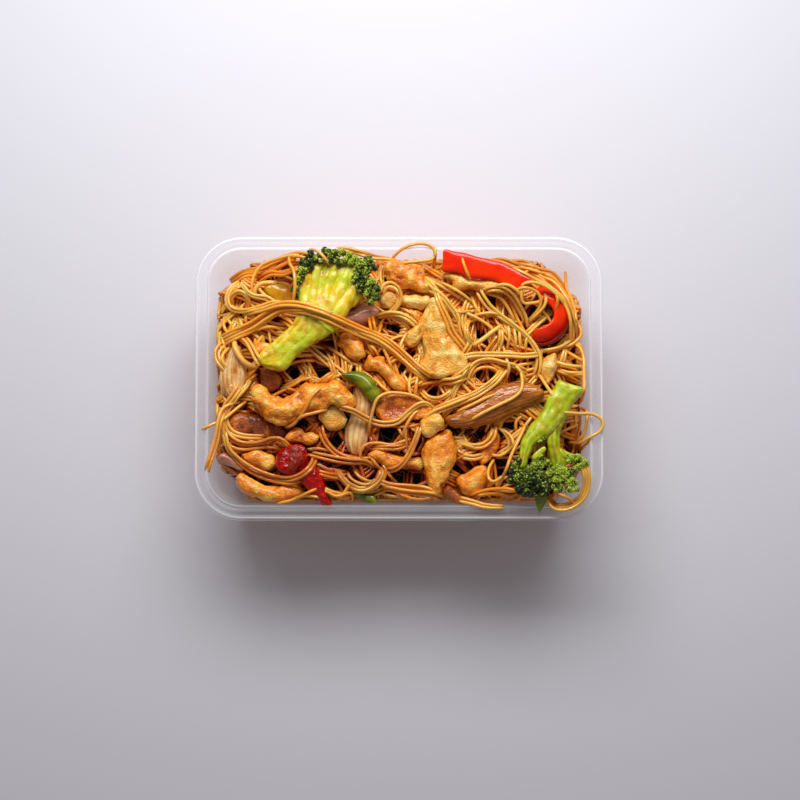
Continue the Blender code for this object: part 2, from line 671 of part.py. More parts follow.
def resting_level(path, core_top, crosses_rim):
    """The height at which a noodle rests on the core and on the rim, eased so that it bends gently.

    An end that lies on the heap dips into it.
    """
    x, y = path.T
    radius = NOODLE / 2
    need = core_top.height[core_top.cell(x, y)] + radius - NOODLE_SINK
    lowest = need - NOODLE_SINK
    on_core = inside_rim(x, y, WALL_TOP_INSET + NOODLE + NOODLE_STEP) | (not crosses_rim)
    need[[0, -1]] -= END_SINK
    need[~on_core] = lowest[~on_core] = BOX_HEIGHT + radius + GAP
    level = need.copy()
    for _ in range(4):
        level[1:-1] = (level[:-2] + level[1:-1] + level[2:]) / 3
        level[1:-1] = np.maximum(level, lowest)[1:-1]
    return level


def strand(name, path, core_top, crosses_rim=False):
    """One noodle that lies along the path, with evenly spaced rings."""
    length = np.linalg.norm(np.diff(path, axis=0), axis=1).sum()
    path = smooth_path(path[::2], max(6, int(length / NOODLE_STEP)))
    level = resting_level(path, core_top, crosses_rim)
    return tube(name, np.column_stack([path, level]), NOODLE / 2, NOODLE_SIDES, NOODLE_COLOUR)


def loose_runs(core_top, blocked):
    """Stretches of noodle that fit between the morsels, the longest first."""
    draw = np.random.default_rng(7)
    runs = []
    for number in range(CANDIDATES):
        share = (0.5 + np.array(EVEN_SPREAD) * number) % 1
        seed = (share - 0.5) * 2 * np.array([CORE_HALF_LENGTH - 6, CORE_HALF_WIDTH - 5])
        path = wandering_path(draw, seed)
        free = inside_rim(path[:, 0], path[:, 1], WALL_TOP_INSET + NOODLE + 1.8)
        free &= ~blocked[core_top.cell(path[:, 0], path[:, 1])]
        start, end = run_around(free, len(path) // 2)
        if (end - start) * NOODLE_LENGTH / len(path) > SHORTEST_NOODLE:
            runs.append(path[start:end])
    return sorted(runs, key=len, reverse=True)


def make_noodles(core, undersides):
    """The loose noodles that show, fused to the core."""
    core_top = Map(0.0)
    record_surface(core, core_top)
    blocked = undersides.spread(NOODLE / 2 + 1.0, np.min) < BOX_HEIGHT * 2
    strands = []
    for number, route in enumerate(RIM_NOODLES + WALL_NOODLES):
        path = smooth_path(route, 60)
        free = ~blocked[core_top.cell(path[:, 0], path[:, 1])]
        outward = np.where(free, np.abs(path[:, 0]) / RIM_LENGTH + np.abs(path[:, 1]) / RIM_WIDTH, 0)
        start, end = run_around(free, int(np.argmax(outward)))
        strands.append(
            strand(f"rim_noodle_{number}", path[start:end], core_top, number < len(RIM_NOODLES))
        )
    laid = []
    for path in loose_runs(core_top, blocked):
        middle = path[len(path) // 2]
        if len(laid) < LOOSE_NOODLES and all(
            np.linalg.norm(other - middle, axis=1).min() > NOODLE_SPACING for other in laid
        ):
            laid.append(path)
            strands.append(strand(f"noodle_{len(laid)}", path, core_top))
    return fuse(core, strands)


def main():
    """Builds the box, lays the toppings down in order, and fits the noodles under them."""
    for made in list(bpy.data.objects):
        bpy.data.objects.remove(made)
    box = make_box()
    tops = Map(0.0)
    undersides = Map(BOX_HEIGHT * 4)
    record_surface(box, tops)
    for piece in MORSELS:
        made = make_morsel(piece)
        lay_down(made, tops)
        record_surface(made, tops, undersides)
    for floret in FLORETS:
        made = make_floret(floret)
        lay_down(made, tops)
        record_surface(made, tops, undersides)
    core = make_core(undersides)
    make_noodles(core, undersides)


main()
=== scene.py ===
"""The look of a takeaway box of fried rice noodles with chicken, broccoli, peppers, onion and chilli.

Sizes are in millimetres in the row frame, and MM turns them into Blender's metres. Every food surface is a
parametric surface in numpy. The noodles are laid down one after another on a map of heights, so that each one
rests on those before it.
"""

import logging
import math
from dataclasses import dataclass, field
from enum import Enum
from typing import Iterable, Sequence, Union

import bpy
import numpy as np
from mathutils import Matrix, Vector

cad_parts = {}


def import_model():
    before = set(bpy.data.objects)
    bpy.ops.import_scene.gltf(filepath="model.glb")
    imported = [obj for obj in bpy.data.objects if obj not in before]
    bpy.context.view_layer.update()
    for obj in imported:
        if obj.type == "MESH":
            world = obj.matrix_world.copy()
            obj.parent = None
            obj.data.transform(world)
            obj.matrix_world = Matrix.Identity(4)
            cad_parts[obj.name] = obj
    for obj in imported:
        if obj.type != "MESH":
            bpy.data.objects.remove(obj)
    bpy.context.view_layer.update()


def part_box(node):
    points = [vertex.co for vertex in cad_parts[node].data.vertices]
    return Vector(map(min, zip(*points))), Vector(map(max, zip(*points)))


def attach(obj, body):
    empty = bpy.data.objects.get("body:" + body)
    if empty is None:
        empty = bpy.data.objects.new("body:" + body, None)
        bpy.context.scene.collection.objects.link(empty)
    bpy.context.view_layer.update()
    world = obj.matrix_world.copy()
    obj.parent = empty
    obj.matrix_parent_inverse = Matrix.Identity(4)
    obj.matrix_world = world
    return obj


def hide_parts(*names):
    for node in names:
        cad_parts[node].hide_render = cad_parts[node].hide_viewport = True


Array = np.ndarray
Points = Sequence[tuple[float, float]]
# The share of a range between one step and the next that spreads any number of steps evenly
GOLDEN_SHARE = 0.618034

MM = 0.001
ROOT = "root"
TURN = 2 * math.pi


def paint(red: float, green: float, blue: float) -> tuple[float, float, float, float]:
    """A colour from its 0 to 255 display values, as a shader needs it.

    Args:
        red: display value of red.
        green: display value of green.
        blue: display value of blue.

    Returns:
        The linear red, green and blue, and 1 for full cover.
    """
    shares = np.array([red, green, blue]) / 255
    linear = np.where(shares <= 0.04045, shares / 12.92, ((shares + 0.055) / 1.055) ** 2.4)
    return (*(float(value) for value in linear), 1.0)


def value_noise(points: Array, size: float, seed: int) -> Array:
    """Smooth random values from -1 to 1, for a lattice of random numbers blended between its corners.

    Args:
        points: places, with their coordinates on the last axis.
        size: distance between lattice points.
        seed: picks the random numbers.

    Returns:
        One value for each place.
    """
    place = points / size
    low = np.floor(place).astype(np.int64)
    share = place - low
    share = share * share * (3 - 2 * share)
    primes = np.array([73856093, 19349663, 83492791][: points.shape[-1]])
    total = np.zeros(points.shape[:-1])
    for corner in np.ndindex(*(2,) * points.shape[-1]):
        step = np.array(corner)
        key = ((low + step) * primes).sum(axis=-1) + seed * 2654435761
        key = (key ^ (key >> 15)) * 2246822519 & 0xFFFFFFFF
        key = (key ^ (key >> 13)) * 3266489917 & 0xFFFFFFFF
        value = ((key ^ (key >> 16)) & 0xFFFF) / 32767.5 - 1
        total += np.prod(np.where(step == 1, share, 1 - share), axis=-1) * value
    return total


def pairs(*numbers: float) -> Points:
    """Places in plan, from x and y of each in turn."""
    return tuple(zip(map(float, numbers[::2]), map(float, numbers[1::2])))


def smooth_way(points: Points, step: float, closed: bool = False) -> Array:
    """The smooth curve through the points (Catmull-Rom), with evenly spaced samples.

    Args:
        points: places that the curve passes through.
        step: distance between samples.
        closed: whether the curve returns to its start.

    Returns:
        The samples, one in each row. A closed curve doesn't repeat its first sample.
    """
    knots = np.array(points, float)
    if closed:
        knots = np.concatenate([knots[-1:], knots, knots[:2]])
    else:
        knots = np.concatenate([2 * knots[:1] - knots[1:2], knots, 2 * knots[-1:] - knots[-2:-1]])
    before, here, there, after = (knots[k : len(knots) - 3 + k, None, :] for k in range(4))
    share = np.linspace(0, 1, 16, endpoint=False)[None, :, None]
    fine = 0.5 * (
        2 * here
        + (there - before) * share
        + (2 * before - 5 * here + 4 * there - after) * share**2
        + (3 * here - before - 3 * there + after) * share**3
    )
    fine = np.concatenate([fine.reshape(-1, knots.shape[1]), knots[-2:-1]])
    length = np.concatenate([[0], np.cumsum(np.linalg.norm(np.diff(fine, axis=0), axis=1))])
    count = max(4, int(round(length[-1] / step)) + 1)
    at = np.linspace(0, length[-1], count)
    made = np.stack([np.interp(at, length, fine[:, axis]) for axis in range(fine.shape[1])], axis=1)
    return made[:-1] if closed else made


def resample(path: Array, shares: Array) -> Array:
    """Places on a path at the given shares of its length.

    Args:
        path: places in order.
        shares: from 0 at the start to 1 at the end.

    Returns:
        One place for each share.
    """
    length = np.concatenate([[0], np.cumsum(np.linalg.norm(np.diff(path, axis=0), axis=1))])
    at = np.asarray(shares) * length[-1]
    return np.stack([np.interp(at, length, path[:, axis]) for axis in range(path.shape[1])], axis=1)


def unit(vectors: Array) -> Array:
    """The vectors with length 1."""
    return vectors / np.maximum(np.linalg.norm(vectors, axis=-1, keepdims=True), 1e-12)


@dataclass
class Skin:
    """A closed surface as arrays: its points, its four- and three-sided faces, and values at its points."""

    points: Array
    quads: Array
    triangles: Array
    values: dict[str, Array] = field(default_factory=dict)

    @classmethod
    def from_rings(cls, rings: Array, ends: Array, values: Union[dict[str, Array], None] = None) -> "Skin":
        """The surface through a row of rings, closed by a fan of triangles at both ends.

        Args:
            rings: places by ring, by step round the ring, and by axis.
            ends: the place at the middle of the first fan, and that of the last.
            values: for each name a value by ring and by step round it.

        Returns:
            The surface, with its faces turned outwards.
        """
        count, sides = rings.shape[:2]
        grid = np.arange(count * sides).reshape(count, sides)
        after = np.roll(grid, -1, axis=1)
        quads = np.stack([grid[:-1], after[:-1], after[1:], grid[1:]], axis=-1).reshape(-1, 4)
        first = np.full(sides, count * sides)
        fans = [
            np.stack([first, after[0], grid[0]], axis=-1),
            np.stack([first + 1, grid[-1], after[-1]], axis=-1),
        ]
        spread = {name: np.broadcast_to(value, (count, sides)) for name, value in (values or {}).items()}
        made = cls(
            np.concatenate([rings.reshape(-1, 3), np.asarray(ends, float).reshape(2, 3)]),
            quads,
            np.concatenate(fans),
            {
                name: np.append(value.ravel(), [value[0].mean(), value[-1].mean()])
                for name, value in spread.items()
            },
        )
        return made if made.volume() > 0 else made.turned()

    def volume(self) -> float:
        """The volume within, which is negative where the faces are turned inwards."""
        faces = np.concatenate([self.quads[:, [0, 1, 2]], self.quads[:, [0, 2, 3]], self.triangles])
        one, two, three = (self.points[faces[:, k]] - self.points[0] for k in range(3))
        return float(np.einsum("ij,ij->i", one, np.cross(two, three)).sum() / 6)

    def turned(self) -> "Skin":
        """The same surface with its faces turned the other way."""
        return Skin(self.points, self.quads[:, ::-1], self.triangles[:, ::-1], self.values)

    @classmethod
    def copies(cls, model: "Skin", centres: Array, sizes: Array, values: dict[str, Array]) -> "Skin":
        """Many copies of one surface, as one surface.

        Args:
            model: the surface, round the origin.
            centres: where each copy goes.
            sizes: how large each copy is, as one number or three for each.
            values: for each name a value for each copy.

        Returns:
            All the copies.
        """
        count, each = len(centres), len(model.points)
        sizes = sizes.reshape(count, 1, -1)
        shift = (np.arange(count) * each)[:, None, None]
        return cls(
            (model.points[None] * sizes + centres[:, None]).reshape(-1, 3),
            (model.quads[None] + shift).reshape(-1, 4),
            (model.triangles[None] + shift).reshape(-1, 3),
            {name: np.repeat(value, each) for name, value in values.items()},
        )

    @classmethod
    def joined(cls, parts: Sequence["Skin"]) -> "Skin":
        """Several surfaces as one, with the values that all of them have."""
        shifts = np.concatenate([[0], np.cumsum([len(part.points) for part in parts])[:-1]])
        names = set.intersection(*(set(part.values) for part in parts))
        return cls(
            np.concatenate([part.points for part in parts]),
            np.concatenate([part.quads + shift for part, shift in zip(parts, shifts)]),
            np.concatenate([part.triangles + shift for part, shift in zip(parts, shifts)]),
            {name: np.concatenate([part.values[name] for part in parts]) for name in names},
        )

    def build(self, name: str, material: bpy.types.Material) -> bpy.types.Object:
        """The surface as an object at the origin, with smooth shading.

        Args:
            name: the object's name.
            material: its finish.

        Returns:
            The object.
        """
        mesh = bpy.data.meshes.new(name)
        mesh.vertices.add(len(self.points))
        mesh.vertices.foreach_set("co", (self.points * MM).astype(np.float32).ravel())
        corners = np.concatenate([self.quads.ravel(), self.triangles.ravel()]).astype(np.int32)
        starts = np.concatenate(
            [np.arange(len(self.quads)) * 4, len(self.quads) * 4 + np.arange(len(self.triangles)) * 3]
        ).astype(np.int32)
        mesh.loops.add(len(corners))
        mesh.loops.foreach_set("vertex_index", corners)
        mesh.polygons.add(len(starts))
        mesh.polygons.foreach_set("loop_start", starts)
        mesh.update(calc_edges=True)
        for key, value in self.values.items():
            mesh.attributes.new(key, "FLOAT", "POINT").data.foreach_set("value", value.astype(np.float32))
        mesh.shade_smooth()
        mesh.materials.append(material)
        made = bpy.data.objects.new(name, mesh)
        bpy.context.scene.collection.objects.link(made)
        return made


def ring_normals(rings: Array) -> Array:
    """The outward direction at each place of a row of rings, from its neighbours along and round."""
    along = np.gradient(rings, axis=0)
    around = np.roll(rings, -1, axis=1) - np.roll(rings, 1, axis=1)
    normal = unit(np.cross(around, along))
    outward = rings - rings.mean(axis=1, keepdims=True)
    return normal * np.sign((outward * normal).sum())


def rod_rings(path: Array, radius: Array, sides: int, flat: float = 1.0) -> Array:
    """Rings of a rod that follows a path.

    Each ring is a circle across the path: sideways by the cosine of the angle, upwards by its sine.

    Args:
        path: the rod's middle line.
        radius: one for each place of the path.
        sides: how many places a ring has.
        flat: the ring's height as a share of its width.

    Returns:
        Places by ring, by step round it and by axis.
    """
    slope = unit(np.gradient(path, axis=0))
    side = unit(np.cross(slope, np.array([0.0, 0.0, 1.0])))
    lift = np.cross(side, slope)
    angle = np.linspace(0, TURN, sides, endpoint=False)[None, :, None]
    wide = np.asarray(radius)[:, None, None]
    return path[:, None] + wide * (np.cos(angle) * side[:, None] + flat * np.sin(angle) * lift[:, None])


def rod(path: Array, radius: Array, sides: int, values: dict[str, Array], flat: float = 1.0) -> Skin:
    """A closed rod with rounded ends.

    Args:
        path: the rod's middle line.
        radius: one for each place of the path.
        sides: how many places a ring has.
        values: for each name a value for each place of the path.
        flat: the rod's height as a share of its width.

    Returns:
        The surface.
    """
    rings = rod_rings(path, radius, sides, flat)
    spread = {name: np.repeat(value[:, None], sides, axis=1) for name, value in values.items()}
    slope = unit(np.gradient(path, axis=0))
    ends = [path[0] - slope[0] * radius[0] * 0.5, path[-1] + slope[-1] * radius[-1] * 0.5]
    return Skin.from_rings(rings, np.array(ends), spread)


def small_ball(rings: int, sides: int) -> Skin:
    """A ball of radius 1 round the origin: circles whose height is the cosine of an even angle."""
    tilt = np.linspace(0, math.pi, rings + 2)[1:-1, None]
    angle = np.linspace(0, TURN, sides, endpoint=False)[None, :]
    places = np.stack(
        [np.sin(tilt) * np.cos(angle), np.sin(tilt) * np.sin(angle), np.cos(tilt) + 0 * angle], axis=-1
    )
    return Skin.from_rings(places, np.array([[0, 0, 1.0], [0, 0, -1.0]]))


Number = Union[float, "Socket"]


class Socket:
    """An output of a shader node, which can be calculated with like a number."""

    def __init__(self, graph: "Graph", output: bpy.types.NodeSocket) -> None:
        """Args: graph: the material's nodes. output: the node's output."""
        self.graph = graph
        self.output = output

    def __add__(self, other: Number) -> "Socket":
        """The sum."""
        return self.graph.math("ADD", self, other)

    __radd__ = __add__

    def __sub__(self, other: Number) -> "Socket":
        """The difference."""
        return self.graph.math("SUBTRACT", self, other)

    def __rsub__(self, other: Number) -> "Socket":
        """The other minus this."""
        return self.graph.math("SUBTRACT", other, self)

    def __mul__(self, other: Number) -> "Socket":
        """The product."""
        return self.graph.math("MULTIPLY", self, other)

    __rmul__ = __mul__

    def between(self, low: float, high: float) -> "Socket":
        """0 where this is at or below low, 1 where it is at or above high, and smooth between them."""
        node = self.graph.node(
            "ShaderNodeMapRange",
            {"interpolation_type": "SMOOTHSTEP"},
            {"Value": self, "From Min": low, "From Max": high},
        )
        return Socket(self.graph, node.outputs["Result"])


class Graph:
    """A material's nodes, written as calculations."""

    def __init__(self, name: str) -> None:
        """Args: name: the material's name."""
        self.material = bpy.data.materials.new(name)
        self.material.use_nodes = True
        self.tree = self.material.node_tree
        self.tree.nodes.clear()

    def node(
        self, kind: str, settings: Union[dict, None] = None, inputs: Union[dict, None] = None
    ) -> bpy.types.Node:
        """A new node.

        Args:
            kind: its type.
            settings: its properties by name.
            inputs: by name or number, the number, colour or socket that goes in.

        Returns:
            The node.
        """
        made = self.tree.nodes.new(kind)
        for name, value in (settings or {}).items():
            setattr(made, name, value)
        for key, value in (inputs or {}).items():
            if isinstance(value, Socket):
                self.tree.links.new(value.output, made.inputs[key])
            else:
                made.inputs[key].default_value = value
        return made

    def math(self, operation: str, first: Number, second: Number) -> Socket:
        """One calculation with two numbers or sockets."""
        node = self.node("ShaderNodeMath", {"operation": operation}, {0: first, 1: second})
        return Socket(self, node.outputs[0])

    def value(self, name: str) -> Socket:
        """The value that the mesh carries under this name."""
        return Socket(self, self.node("ShaderNodeAttribute", {"attribute_name": name}).outputs["Fac"])

    def noise(self, size: float, detail: float = 2.0, stretch: Sequence[float] = (1, 1, 1)) -> Socket:
        """Noise from 0 to 1 in the object's own space.

        Args:
            size: the size of a patch in millimetres.
            detail: how many finer layers it has.
            stretch: how many times longer a patch is along each axis.

        Returns:
            The noise.
        """
        place = Socket(self, self.node("ShaderNodeTexCoord").outputs["Object"])
        scale = tuple(1 / (size * MM * share) for share in stretch)
        moved = self.node("ShaderNodeVectorMath", {"operation": "MULTIPLY"}, {0: place, 1: scale})
        noise = self.node(
            "ShaderNodeTexNoise",
            None,
            {"Vector": Socket(self, moved.outputs[0]), "Scale": 1.0, "Detail": detail},
        )
        return Socket(self, noise.outputs["Fac"])

    def mix(self, first: object, second: object, share: Number) -> Socket:
        """A colour between two colours, where a share of 1 gives the second."""
        node = self.node("ShaderNodeMix", {"data_type": "RGBA"}, {0: share, 6: first, 7: second})
        return Socket(self, node.outputs[2])

    def bump(self, height: Socket, depth: float, strength: float = 1.0) -> Socket:
        """The direction of a surface that is raised by height times depth, in millimetres."""
        inputs = {"Strength": strength, "Distance": depth * MM, "Height": height}
        node = self.node("ShaderNodeBump", None, inputs)
        return Socket(self, node.outputs["Normal"])

    def surface(self, inputs: dict) -> bpy.types.Material:
        """The finished material, with one principled surface.

        Args:
            inputs: what goes into the surface, by its input's name.

        Returns:
            The material.
        """
        shader = self.node("ShaderNodeBsdfPrincipled", None, inputs)
        output = self.node("ShaderNodeOutputMaterial")
        self.tree.links.new(shader.outputs[0], output.inputs[0])
        return self.material


@dataclass(frozen=True)
class PlasticFinish:
    """Milky clear plastic. The value milk on the mesh says how much of the light it stops."""

    colour: tuple = paint(246, 244, 250)
    roughness: float = 0.16

    def material(self) -> bpy.types.Material:
        """The material."""
        graph = Graph("milky_plastic")
        return graph.surface(
            {
                "Base Color": self.colour,
                "Roughness": self.roughness,
                "IOR": 1.49,
                "Alpha": graph.value("milk"),
                "Coat Weight": 0.3,
                "Coat Roughness": 0.12,
            }
        )


@dataclass(frozen=True)
class NoodleFinish:
    """Cooked rice noodle, oiled and sauced.

    The value tone on the mesh goes from pale to amber. The darkness value goes from none to covered: sauced
    brown, and painted shade deep in the heap. The value under goes from the top of a noodle to its sides and
    underside, which get the darker side colour as painted shade.
    """

    pale: tuple = paint(255, 202, 98)
    amber: tuple = paint(255, 154, 22)
    # The side colour is painted shade on the sides and underside of each noodle.
    side: tuple = paint(250, 118, 6)
    brown: tuple = paint(178, 58, 3)
    # The deep colour is painted shade for noodles that lie deep in the heap.
    deep: tuple = paint(36, 9, 2)

    def material(self) -> bpy.types.Material:
        """The material."""
        graph = Graph("rice_noodle")
        tone = graph.value("tone") + graph.noise(9, 2) * 0.6 - 0.3
        sauce = graph.value("sauce")
        spots = graph.noise(3.5, 3)
        colour = graph.mix(self.pale, self.amber, tone.between(0.0, 0.95))
        # Painted shade: the sides and underside of each noodle go towards the side colour.
        colour = graph.mix(colour, self.side, graph.value("under").between(0.0, 1.1) * 0.55)
        # Towards brown, partly the noodles' sauced colour and partly painted shade deep in the heap, then
        # towards the deep colour, which is painted shade.
        colour = graph.mix(colour, self.brown, (sauce * 1.5 + spots * 0.4 - 0.2).between(0.25, 1.0))
        colour = graph.mix(colour, self.deep, sauce.between(0.5, 1.0))
        return graph.surface(
            {
                "Base Color": colour,
                "Roughness": 0.14 - sauce * 0.04,
                "IOR": 1.4,
                "Subsurface Weight": 0.55,
                "Subsurface Radius": (1.0, 0.5, 0.08),
                "Subsurface Scale": 1.8 * MM,
                "Coat Weight": 0.4,
                "Coat Roughness": 0.04,
                "Normal": graph.bump(graph.noise(1.4, 2), 0.1),
            }
        )


@dataclass(frozen=True)
class CoreFinish:
    """What is seen deep between the noodles: more sauced noodles, whose dark brown is painted shade, with no
    gloss.
    """

    dark: tuple = paint(66, 20, 3)
    light: tuple = paint(172, 84, 16)

    def material(self) -> bpy.types.Material:
        """The material."""
        graph = Graph("noodle_core")
        strands = graph.noise(1.6, 3, (1.0, 2.4, 1.0)).between(0.42, 0.66) * (1 - graph.value("sauce") * 0.8)
        # Painted shade: the core goes from the light colour to the dark one as its darkness value rises.
        shown = graph.mix(self.light, self.dark, graph.value("sauce"))
        return graph.surface(
            {
                "Base Color": graph.mix(shown, self.light, strands * 0.3),
                "Roughness": 0.7,
                "Normal": graph.bump(strands, 0.5),
            }
        )


@dataclass(frozen=True)
class ChickenFinish:
    """Fried chicken, sauced and spiced: pale high parts, brown folds and underside, and dark and pale grains.

    The value fold on the mesh goes from the high parts to the folds and the underside. The pale of the high
    parts and the brown of the folds and underside are partly the crust's own colour and partly painted light
    and shade, and the pale grains are painted glints.
    """

    name: str = "chicken"
    pale: tuple = paint(255, 204, 88)
    gold: tuple = paint(255, 146, 16)
    brown: tuple = paint(180, 74, 4)
    warmth: float = 0.0

    def material(self) -> bpy.types.Material:
        """The material."""
        graph = Graph(self.name)
        fold = graph.value("fold")
        patches = graph.noise(5.5, 4)
        grain = graph.noise(0.75, 3)
        # Pale on the high parts, gold in the folds: partly the crust's colour, partly painted light and shade.
        colour = graph.mix(self.pale, self.gold, (patches + fold * 0.6 + self.warmth).between(0.42, 0.86))
        # Brown in the deep folds and on the underside: partly sauced crust, partly painted shade.
        folds = fold + graph.noise(2.4, 4) * 0.7 + self.warmth
        colour = graph.mix(colour, self.brown, folds.between(0.86, 1.42))
        colour = graph.mix(colour, self.brown, (grain + self.warmth * 0.3).between(0.58, 0.74) * 0.5)
        # Pale specks: painted glints on the grainy crust.
        colour = graph.mix(colour, self.pale, (1 - grain - self.warmth * 0.3).between(0.56, 0.72) * 0.6)
        return graph.surface(
            {
                "Base Color": colour,
                "Roughness": 0.32 + grain * 0.2,
                "IOR": 1.45,
                "Subsurface Weight": 0.08,
                "Subsurface Radius": (1.0, 0.45, 0.2),
                "Subsurface Scale": 1.5 * MM,
                "Coat Weight": 0.5,
                "Coat Roughness": 0.09,
                "Normal": graph.bump(grain + patches * 0.8, 0.6, 1.0),
            }
        )


@dataclass(frozen=True)
class PeelFinish:
    """Smooth wet skin or flesh with soft streaks of a second colour.

    The value side on the mesh is 0 on the main side and 1 on the other, which has the third colour. The value
    groove is 1 in the furrows, which have as much of the third colour as furrow says.
    """

    name: str
    main: tuple
    streak: tuple
    other: tuple
    streaks: float = 4.0
    stretch: tuple = (1.0, 1.0, 1.0)
    roughness: float = 0.22
    relief: float = 0.1
    coat: float = 0.5
    furrow: float = 0.0

    def material(self) -> bpy.types.Material:
        """The material."""
        graph = Graph(self.name)
        waves = graph.noise(self.streaks, 3, self.stretch)
        colour = graph.mix(self.main, self.streak, waves.between(0.38, 0.68))
        dark = graph.value("side") + graph.value("groove").between(0.3, 1.0) * self.furrow
        colour = graph.mix(colour, self.other, dark.between(0.0, 1.0))
        return graph.surface(
            {
                "Base Color": colour,
                "Roughness": self.roughness + waves * 0.1,
                "IOR": 1.42,
                "Coat Weight": self.coat,
                "Coat Roughness": 0.1,
                "Normal": graph.bump(waves, self.relief * 3),
            }
        )


@dataclass(frozen=True)
class BroccoliFinish:
    """Broccoli: bright stalk, and buds that go from olive to dark green.

    The value bud is 0 on the stalk and 1 on the buds, and shade goes from light to dark.
    """

    name: str = "broccoli_left"
    stalk: tuple = paint(232, 198, 12)
    stalk_dark: tuple = paint(112, 128, 5)
    stalk_light: tuple = paint(238, 232, 116)
    stain: tuple = paint(190, 116, 6)
    lime: tuple = paint(196, 212, 44)
    bud_light: tuple = paint(186, 208, 58)
    bud_dark: tuple = paint(24, 42, 4)

    def material(self) -> bpy.types.Material:
        """The material."""
        graph = Graph(self.name)
        shade = graph.value("shade")
        fibres = graph.noise(2.4, 3, (1.0, 1.6, 1.0))
        stalk = graph.mix(self.stalk_light, self.stalk, (fibres + shade * 0.4).between(0.3, 0.6))
        stalk = graph.mix(stalk, self.lime, graph.noise(15, 1).between(0.44, 0.6) * 0.75)
        stalk = graph.mix(stalk, self.stalk_dark, (shade * 0.9 + fibres * 0.4).between(0.4, 1.1))
        stalk = graph.mix(stalk, self.stain, (graph.noise(4.0, 5) + shade * 0.15).between(0.54, 0.72) * 0.6)
        bud_shade = shade + graph.noise(1.4, 2) * 0.4 - 0.2
        bud = graph.mix(self.bud_light, self.bud_dark, bud_shade.between(0.0, 0.8))
        return graph.surface(
            {
                "Base Color": graph.mix(stalk, bud, graph.value("bud")),
                "Roughness": 0.34,
                "IOR": 1.42,
                "Coat Weight": 0.25,
                "Coat Roughness": 0.1,
                "Normal": graph.bump(graph.noise(0.8, 3), 0.18),
            }
        )


class HeightMap:
    """Heights over a square grid that covers the box, which noodles are laid on."""

    CELL = 0.5
    HALF_LENGTH = 92.0
    HALF_WIDTH = 66.0

    def __init__(self, level: Array) -> None:
        """Args: level: a height for each cell, by column and row."""
        self.level = level

    @classmethod
    def places(cls) -> tuple[Array, Array]:
        """x and y of each cell."""
        x = np.arange(-cls.HALF_LENGTH, cls.HALF_LENGTH + cls.CELL / 2, cls.CELL)
        y = np.arange(-cls.HALF_WIDTH, cls.HALF_WIDTH + cls.CELL / 2, cls.CELL)
        return tuple(np.meshgrid(x, y, indexing="ij"))

    def cells(self, places: Array) -> tuple[Array, Array]:
        """Column and row of the cell nearest each place."""
        column = np.round((places[..., 0] + self.HALF_LENGTH) / self.CELL).astype(int)
        row = np.round((places[..., 1] + self.HALF_WIDTH) / self.CELL).astype(int)
        return np.clip(column, 0, self.level.shape[0] - 1), np.clip(row, 0, self.level.shape[1] - 1)

    def at(self, places: Array) -> Array:
        """The height at each place."""
        return self.level[self.cells(places)]

    def raise_round(self, path: Array, radius: float) -> None:
        """Raises the heights to the top of a round rod along the path.

        Args:
            path: the rod's middle line.
            radius: its radius.
        """
        reach = int(math.ceil(radius / self.CELL))
        column, row = self.cells(path)
        steps = np.arange(-reach, reach + 1)
        aside, ahead = (grid.ravel() for grid in np.meshgrid(steps, steps, indexing="ij"))
        away = (aside**2 + ahead**2) * self.CELL**2
        near = away < radius**2
        aside, ahead, away = aside[near], ahead[near], away[near]
        columns = np.clip(column[:, None] + aside, 0, self.level.shape[0] - 1)
        rows = np.clip(row[:, None] + ahead, 0, self.level.shape[1] - 1)
        tops = path[:, 2, None] + np.sqrt(radius**2 - away)
        np.maximum.at(self.level, (columns, rows), tops)

    def raise_to(self, points: Array) -> None:
        """Raises the cells under these points, and those beside them, to the points' heights."""
        column, row = self.cells(points)
        for aside, ahead in ((0, 0), (1, 0), (0, 1), (1, 1)):
            np.maximum.at(self.level, (column - aside, row - ahead), points[:, 2])

    def lower_to(self, points: Array) -> None:
        """Lowers the cells under these points, and those beside them, to the points' heights."""
        column, row = self.cells(points)
        for aside, ahead in ((0, 0), (1, 0), (0, 1), (1, 1)):
            np.minimum.at(self.level, (column - aside, row - ahead), points[:, 2])


